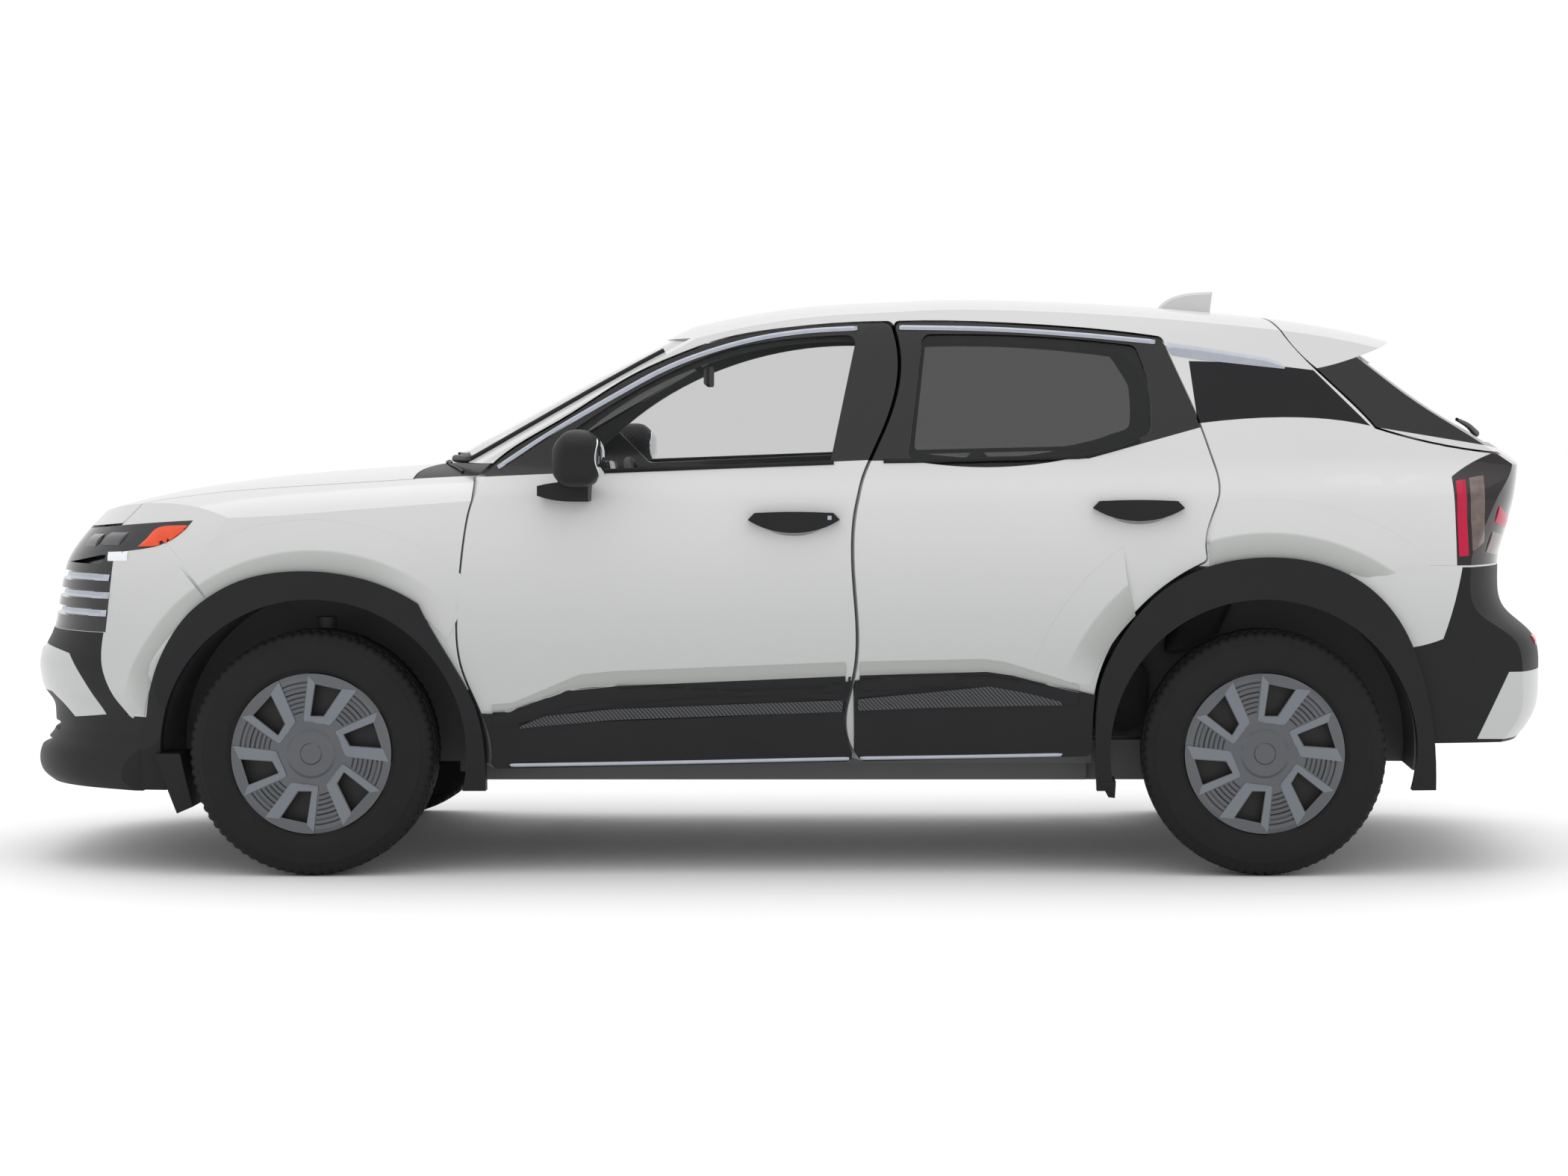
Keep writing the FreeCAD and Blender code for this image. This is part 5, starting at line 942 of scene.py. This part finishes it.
def tube(name, points, radii, finish, body, around=12, spacing=0.015):
    """A closed tube along a line, with a radius at each end."""
    path = eased(points, spacing)
    count = len(path)
    rings = []
    for i, p in enumerate(path):
        run = (path[min(i + 1, count - 1)] - path[max(i - 1, 0)]).normalized()
        up_way = Vector((0, 0, 1)) if abs(run.z) < 0.9 else Vector((0, 1, 0))
        side_way = run.cross(up_way).normalized()
        up_way = side_way.cross(run).normalized()
        radius = radii[0] + (radii[1] - radii[0]) * i / (count - 1)
        turns = [2 * math.pi * k / around for k in range(around)]
        rings.append([p + side_way * (radius * math.cos(turn)) + up_way * (radius * math.sin(turn))
                      for turn in turns])
    split_edges(new_piece(name, *loft(rings), finish, body), 50)


def on_top(tree, x, y, lift):
    """A point that far over the skin, at the nearest station that has skin below it."""
    for shift in (0.0, 0.01, -0.01, 0.02, -0.02, 0.03, -0.03):
        here = cast(tree, "top", x + shift, y)
        if here:
            return here[0] + Vector((0, 0, lift))
    raise ValueError(f"no skin under {x}, {y}")


for side_name, side in SIDES.items():
    edge = [cast(skins["screen_only"], "top", x, side * (y - SEAL_INSET))
            for x, y in limits[1:-SEAL_SHORT]]
    tube(f"screen_seal_{side_name}", [here[0] + Vector((0, 0, SEAL_LIFT)) for here in edge if here],
         (SEAL_RADIUS, SEAL_RADIUS), "dark_plastic", "body", spacing=0.03)

WIPERS = ((-0.10, -0.66), (0.46, -0.06))            # Y of each blade's root and tip
BLADE_X, BLADE_SWEEP, BLADE_CURVE, BLADE_LIFT = -1.005, 0.02, 0.2, 0.005
PIVOT_X, PIVOT_OFFSET, PIVOT_LIFT = -1.030, 0.06, 0.003
for number, (root_y, tip_y) in enumerate(WIPERS):
    blade = []
    for t in (k / 6 for k in range(7)):
        y = root_y * (1 - t) + tip_y * t
        blade.append(on_top(skins["screen"], BLADE_X + BLADE_SWEEP * t + BLADE_CURVE * y * y, y,
                            BLADE_LIFT))
    tube(f"wiper_blade_{number}", blade, (0.005, 0.004), "dark_plastic", "body")
    pivot = on_top(skins["screen"], PIVOT_X, root_y + PIVOT_OFFSET, PIVOT_LIFT)
    tube(f"wiper_arm_{number}", [pivot, pivot.lerp(blade[3], 0.5) + Vector((0, 0, 0.006)),
         blade[3] + Vector((0, 0, 0.004))], (0.007, 0.004), "dark_plastic", "body")

wiper_root = cast(skins["rear_glass"], "rear", 0.0, 1.215)[0] + Vector((0.014, 0, 0.010))
wiper_tip = cast(skins["rear_glass"], "rear", -0.33, 1.262)[0] + Vector((0.012, 0, 0.008))
tube("rear_wiper", [wiper_root, wiper_root.lerp(wiper_tip, 0.5) + Vector((0.004, 0, 0.003)),
     wiper_tip], (0.011, 0.005), "dark_plastic", "tailgate")

# ---------------------------------------------------------------- mirrors and deflectors

MIRROR_LOW, MIRROR_HIGH = Vector((-0.613, 0.8705, 1.087)), Vector((-0.471, 1.0655, 1.247))
ARM_LOW, ARM_HIGH = Vector((-0.6578, 0.8182, 1.0465)), Vector((-0.5158, 0.9485, 1.1005))
LONGEST_EDGE = 0.011
PANE_CENTRE, PANE_HALF = (0.968, 1.163), (0.076, 0.060)
PANE_BEHIND, PANE_BACK, PANE_FRONT, PANE_SINK, PANE_LIFT = -0.30, -0.480, -0.4735, 0.003, 0.0025


def inside(co, side, low, high, margin):
    """Whether a point lies in a box that is given for the right side."""
    return all(a - margin <= b <= c + margin
               for a, b, c in zip(low, (co.x, co.y * side, co.z), high))


def rounded_mirror(co, side):
    """Moves a point of the mirror housing or its arm from its block toward an egg shape."""
    point = Vector((co.x, co.y * side, co.z))
    if inside(co, side, ARM_LOW, ARM_HIGH, 0.001):
        start = ARM_HIGH.x - 0.03
        ahead = max(0.0, min(1.0, (start - point.x) / (start - ARM_LOW.x)))
        middle = ARM_HIGH.z * 0.62 + ARM_LOW.z * 0.38
        return Vector((co.x, co.y, point.z + (middle - point.z) * 0.50 * ahead ** 2.5))
    if not inside(co, side, MIRROR_LOW, MIRROR_HIGH, 0.002):
        return co
    centre, half = (MIRROR_LOW + MIRROR_HIGH) / 2, (MIRROR_HIGH - MIRROR_LOW) / 2
    u = Vector((max(-1, min(1, (point[n] - centre[n]) / half[n])) for n in range(3)))
    a, b, c = u.x ** 2, u.y ** 2, u.z ** 2
    ball = Vector((u.x * math.sqrt(1 - b / 2 - c / 2 + b * c / 3),
                   u.y * math.sqrt(1 - a / 2 - c / 2 + a * c / 3),
                   u.z * math.sqrt(1 - a / 2 - b / 2 + a * b / 3)))
    shape = u.lerp(ball, 0.42 + 0.30 * max(0.0, min(1.0, u.z + 0.4)))
    moved = Vector((centre[n] + shape[n] * half[n] for n in range(3)))
    return Vector((moved.x, moved.y * side, moved.z))


for side_name, side in SIDES.items():
    trim_name, door = f"front_door_trim_{side_name}", f"front_door_{side_name}"
    bm = bmesh.new()
    bm.from_mesh(nodes[trim_name].data)
    for _ in range(4):
        long_edges = [e for e in bm.edges if e.calc_length() > LONGEST_EDGE and all(
            inside(v.co, side, MIRROR_LOW, MIRROR_HIGH, 0.003)
            or inside(v.co, side, ARM_LOW, ARM_HIGH, 0.0015) for v in e.verts)]
        if not long_edges:
            break
        bmesh.ops.subdivide_edges(bm, edges=long_edges, cuts=1, use_grid_fill=True)
        bmesh.ops.triangulate(bm, faces=[f for f in bm.faces if len(f.verts) > 4])
    for vert in bm.verts:
        vert.co = rounded_mirror(vert.co, side)
    mesh = bpy.data.meshes.new(f"door_trim_front_{side_name}")
    bm.to_mesh(mesh)
    bm.free()
    trim = dressed(linked(mesh.name, mesh), "dark_plastic", door)
    split_edges(trim, 35)
    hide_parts(trim_name)
    housing = BVHTree.FromPolygons([v.co.copy() for v in mesh.vertices],
                                   [tuple(f.vertices) for f in mesh.polygons])

    def pane(u, v):
        """Front and back of the glass at a place, held to the back of the housing."""
        y = side * (PANE_CENTRE[0] + PANE_HALF[0] * u * math.sqrt(1 - v * v / 2))
        z = PANE_CENTRE[1] + PANE_HALF[1] * v * math.sqrt(1 - u * u / 2)
        hit = housing.ray_cast(Vector((PANE_BEHIND, y, z)), Vector((-1, 0, 0)))[0]
        x = min(hit.x, PANE_FRONT) if hit else PANE_BACK
        return Vector((x + PANE_LIFT, y, z)), Vector((x - PANE_SINK, y, z))

    shells(f"mirror_glass_{side_name}", [grids(square(11, 11), pane)], "mirror_glass", door)

CABIN_MIRROR = Vector((-0.235, 0, 1.395))
CABIN_MIRROR_HALF, CABIN_MIRROR_DEPTH, CABIN_MIRROR_RIM = (0.1175, 0.031), 0.018, 0.003


def cabin_mirror(u, v):
    """A point of the housing's rounded back and one of its glass."""
    y = u * CABIN_MIRROR_HALF[0]
    z = CABIN_MIRROR.z + v * math.sqrt(1 - 0.45 * u ** 4) * CABIN_MIRROR_HALF[1]
    depth = CABIN_MIRROR_DEPTH * math.sqrt(max(0.0, 1 - 0.9 * max(abs(u), abs(v)) ** 4))
    return (Vector((CABIN_MIRROR.x - depth, y, z)),
            Vector((CABIN_MIRROR.x + CABIN_MIRROR_RIM, y, z)))


shells("cabin_mirror", [grids(square(13, 7), cabin_mirror)], "cabin_plastic", "body")
tube("cabin_mirror_stalk", [(-0.245, 0, 1.40), (-0.29, 0, 1.435), (-0.33, 0, 1.455)],
     (0.008, 0.011), "cabin_plastic", "body")

# air deflectors ahead of the wheels: outline in X and Z, inner and outer edge
DEFLECTORS = {
    "front_deflector": ([(-1.735, 0.340), (-1.664, 0.340), (-1.632, 0.190), (-1.676, 0.171)],
                        0.70, 0.86),
    "rear_deflector": ([(0.905, 0.262), (0.950, 0.262), (0.948, 0.214), (0.930, 0.216)],
                       0.70, 0.855),
}
DEFLECTOR_CURVE = 0.02
for side_name, side in SIDES.items():
    for name, (points, near, far) in DEFLECTORS.items():
        rows = between(evenly([points[0], points[3]], 10, False),
                       evenly([points[1], points[2]], 10, False), 5)
        outer = [[Vector((x, side * (far - DEFLECTOR_CURVE * (i / 9) ** 2), z)) for x, z, _ in row]
                 for i, row in enumerate(rows)]
        inner = [[Vector((x, side * near, z)) for x, z, _ in row] for row in rows]
        shells(f"{name}_{side_name}", [(outer, inner)], "dark_plastic", "body")


# ---------------------------------------------------------------- cabin

def rounded_block(name, low, high, bevel, finish, body, tilt=0.0):
    """A moulded block: bevelled, and tilted about the Y axis."""
    bm = bmesh.new()
    bmesh.ops.create_cube(bm, size=1.0)
    bmesh.ops.scale(bm, vec=Vector(high) - Vector(low), verts=bm.verts)
    bmesh.ops.bevel(bm, geom=bm.edges[:], offset=bevel, segments=3, affect="EDGES", profile=0.6)
    bmesh.ops.rotate(bm, cent=(0, 0, 0), matrix=Matrix.Rotation(tilt, 3, "Y"), verts=bm.verts)
    bmesh.ops.translate(bm, vec=(Vector(low) + Vector(high)) / 2, verts=bm.verts)
    mesh = bpy.data.meshes.new(name)
    bm.to_mesh(mesh)
    bm.free()
    split_edges(dressed(linked(name, mesh), finish, body), 40)


# Name, low and high corner, bevel, finish, body and tilt
CABIN_BLOCKS = (
    ("instrument_hood", (-0.66, -0.494, 1.065), (-0.50, -0.154, 1.125), 0.022, "cabin_plastic",
     "body", 0.10),
    ("centre_screen", (-0.545, -0.13, 0.995), (-0.515, 0.14, 1.145), 0.010, "gloss_black",
     "body", -0.20),
    ("centre_console", (-0.48, -0.085, 0.34), (0.28, 0.085, 0.545), 0.028, "cabin_plastic",
     "body", 0.0),
    ("gear_lever", (-0.235, -0.022, 0.53), (-0.195, 0.022, 0.625), 0.015, "cabin_plastic",
     "body", 0.15),
    ("wheel_boss_pad", (-0.400, -0.389, 0.930), (-0.352, -0.259, 1.025), 0.020, "cabin_plastic",
     "steering_wheel", -math.radians(25)),
)
for block in CABIN_BLOCKS:
    rounded_block(*block)


# ---------------------------------------------------------------- cushions

def swell(obj, cap, frames=14, pressure=4.0):
    """Blows a cushion up as cloth with a little pressure, and keeps the result."""
    base = [v.co.copy() for v in obj.data.vertices]
    cloth = obj.modifiers.new("cloth", "CLOTH")
    cloth.settings.use_pressure = True
    cloth.settings.uniform_pressure_force = pressure
    cloth.settings.effector_weights.gravity = 0.0
    cloth.settings.quality = 4
    cloth.collision_settings.use_self_collision = False
    cloth.point_cache.frame_start = 1
    cloth.point_cache.frame_end = frames
    for frame_number in range(1, frames + 1):
        bpy.context.scene.frame_set(frame_number)
    graph = bpy.context.evaluated_depsgraph_get()
    result = obj.evaluated_get(graph).to_mesh()
    moved = [v.co.copy() for v in result.vertices]
    obj.evaluated_get(graph).to_mesh_clear()
    obj.modifiers.remove(cloth)
    bpy.context.scene.frame_set(1)
    for vertex, start, end in zip(obj.data.vertices, base, moved):
        step = end - start
        if step.length > cap:
            step = step.normalized() * cap
        vertex.co = start + step


def applied(obj, kind, **settings):
    """Replaces the mesh of a piece by what a modifier makes of it."""
    modifier = obj.modifiers.new(kind.lower(), kind)
    for key, value in settings.items():
        setattr(modifier, key, value)
    graph = bpy.context.evaluated_depsgraph_get()
    graph.update()
    mesh = bpy.data.meshes.new_from_object(obj.evaluated_get(graph))
    obj.modifiers.remove(modifier)
    obj.data = mesh
    mesh.name = obj.name


def cushion(name, outline, low_y, high_y, bevel, channels=(), cap=0.012, voxel=0.013):
    """A sewn pad: a rounded form over a side outline, swollen, with channels pressed in."""
    bm = bmesh.new()
    count = len(outline)
    left = [bm.verts.new((x, low_y, z)) for x, z in outline]
    right = [bm.verts.new((x, high_y, z)) for x, z in outline]
    bm.faces.new(left)
    bm.faces.new(right[::-1])
    for i in range(count):
        j = (i + 1) % count
        bm.faces.new((left[j], left[i], right[i], right[j]))
    bmesh.ops.recalc_face_normals(bm, faces=bm.faces)
    bmesh.ops.bevel(bm, geom=bm.edges[:], offset=bevel, segments=4, affect="EDGES", profile=0.55,
                    clamp_overlap=True)
    mesh = bpy.data.meshes.new(name)
    bm.to_mesh(mesh)
    bm.free()
    obj = linked(name, mesh)
    applied(obj, "REMESH", mode="VOXEL", voxel_size=voxel)
    swell(obj, cap)
    # channels: sewn lines at a place along an axis, where the cover dips
    for vertex in obj.data.vertices:
        for axis, at, width, depth in channels:
            away = abs(vertex.co["xyz".index(axis)] - at)
            if away < width:
                vertex.co = vertex.co - vertex.normal * (depth * (1 - away / width) ** 2)
    applied(obj, "SUBSURF", levels=1, render_levels=1)
    dressed(obj, "seat_fabric", "body")
    return obj


SEAT_CUSHION = [(-0.098, 0.500), (-0.084, 0.425), (0.335, 0.395), (0.345, 0.545), (0.270, 0.548),
                (-0.040, 0.582), (-0.085, 0.565)]
SEAT_BACK = [(0.325, 0.560), (0.372, 0.400), (0.425, 0.468), (0.572, 0.965), (0.555, 0.985),
             (0.470, 0.982), (0.445, 0.950), (0.338, 0.640)]
HEAD_REST = [(0.508, 1.030), (0.572, 1.018), (0.608, 1.155), (0.558, 1.172), (0.528, 1.140)]
SEAT_WIDTH_AT = (0.118, 0.530)                      # inner and outer edge of a front seat
SEAM_OFFSET, SEAM_WIDTH, SEAM_DEPTH = 0.115, 0.016, 0.010
CROSS_WIDTH, CROSS_DEPTH = 0.014, 0.006
HEAD_REST_HALF, POST_OFFSET, POST_RADIUS, BASE_HALF = 0.125, 0.05, 0.006, 0.17

for side_name, side in SIDES.items():
    low_y, high_y = sorted(side * edge for edge in SEAT_WIDTH_AT)
    middle = (low_y + high_y) / 2
    seams = tuple(("y", middle + offset, SEAM_WIDTH, SEAM_DEPTH)
                  for offset in (-SEAM_OFFSET, SEAM_OFFSET))
    pad = cushion(f"front_seat_cushion_{side_name}", SEAT_CUSHION, low_y, high_y, 0.035,
                  channels=seams + (("x", 0.12, CROSS_WIDTH, CROSS_DEPTH),))
    if side_name == "left":
        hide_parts("front_seats")
    cushion(f"front_seat_back_{side_name}", SEAT_BACK, low_y, high_y, 0.030,
            channels=seams + (("z", 0.78, CROSS_WIDTH, CROSS_DEPTH),))
    cushion(f"front_head_rest_{side_name}", HEAD_REST, middle - HEAD_REST_HALF,
            middle + HEAD_REST_HALF, 0.022, cap=0.006, voxel=0.010)
    for letter, y in (("a", middle - POST_OFFSET), ("b", middle + POST_OFFSET)):
        tube(f"head_rest_post_{side_name}_{letter}", [(0.505, y, 0.960), (0.535, y, 1.050)],
             (POST_RADIUS, POST_RADIUS), "frame_metal", "body")
    rounded_block(f"seat_base_{side_name}", (-0.02, middle - BASE_HALF, 0.285),
                  (0.34, middle + BASE_HALF, 0.410), 0.018, "cabin_plastic", "body")

BENCH_CUSHION = [(0.728, 0.500), (0.746, 0.395), (1.050, 0.378), (1.062, 0.560), (1.010, 0.582),
                 (0.775, 0.588), (0.740, 0.560)]
BENCH_BACK = [(1.085, 0.585), (1.225, 0.610), (1.432, 1.020), (1.430, 1.075), (1.362, 1.060),
              (1.325, 1.010), (1.118, 0.640)]
BENCH_REST = [(1.405, 1.068), (1.445, 1.062), (1.450, 1.098), (1.425, 1.108), (1.395, 1.100)]
BENCH_HALF, BENCH_VOXEL, BENCH_REST_HALF = 0.535, 0.016, 0.12
BENCH_SEAMS = (("y", -0.19, SEAM_WIDTH, 0.009), ("y", 0.19, SEAM_WIDTH, 0.009))

bench = cushion("bench_cushion", BENCH_CUSHION, -BENCH_HALF, BENCH_HALF, 0.032,
                channels=BENCH_SEAMS + (("x", 0.90, CROSS_WIDTH, 0.005),), voxel=BENCH_VOXEL)
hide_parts("rear_seat")
cushion("bench_back", BENCH_BACK, -BENCH_HALF, BENCH_HALF, 0.030,
        channels=BENCH_SEAMS + (("z", 0.86, CROSS_WIDTH, 0.005),), voxel=BENCH_VOXEL)
for number, y in enumerate((-0.36, 0.0, 0.36)):
    cushion(f"bench_head_rest_{number}", BENCH_REST, y - BENCH_REST_HALF, y + BENCH_REST_HALF,
            0.012, cap=0.003, voxel=0.008)
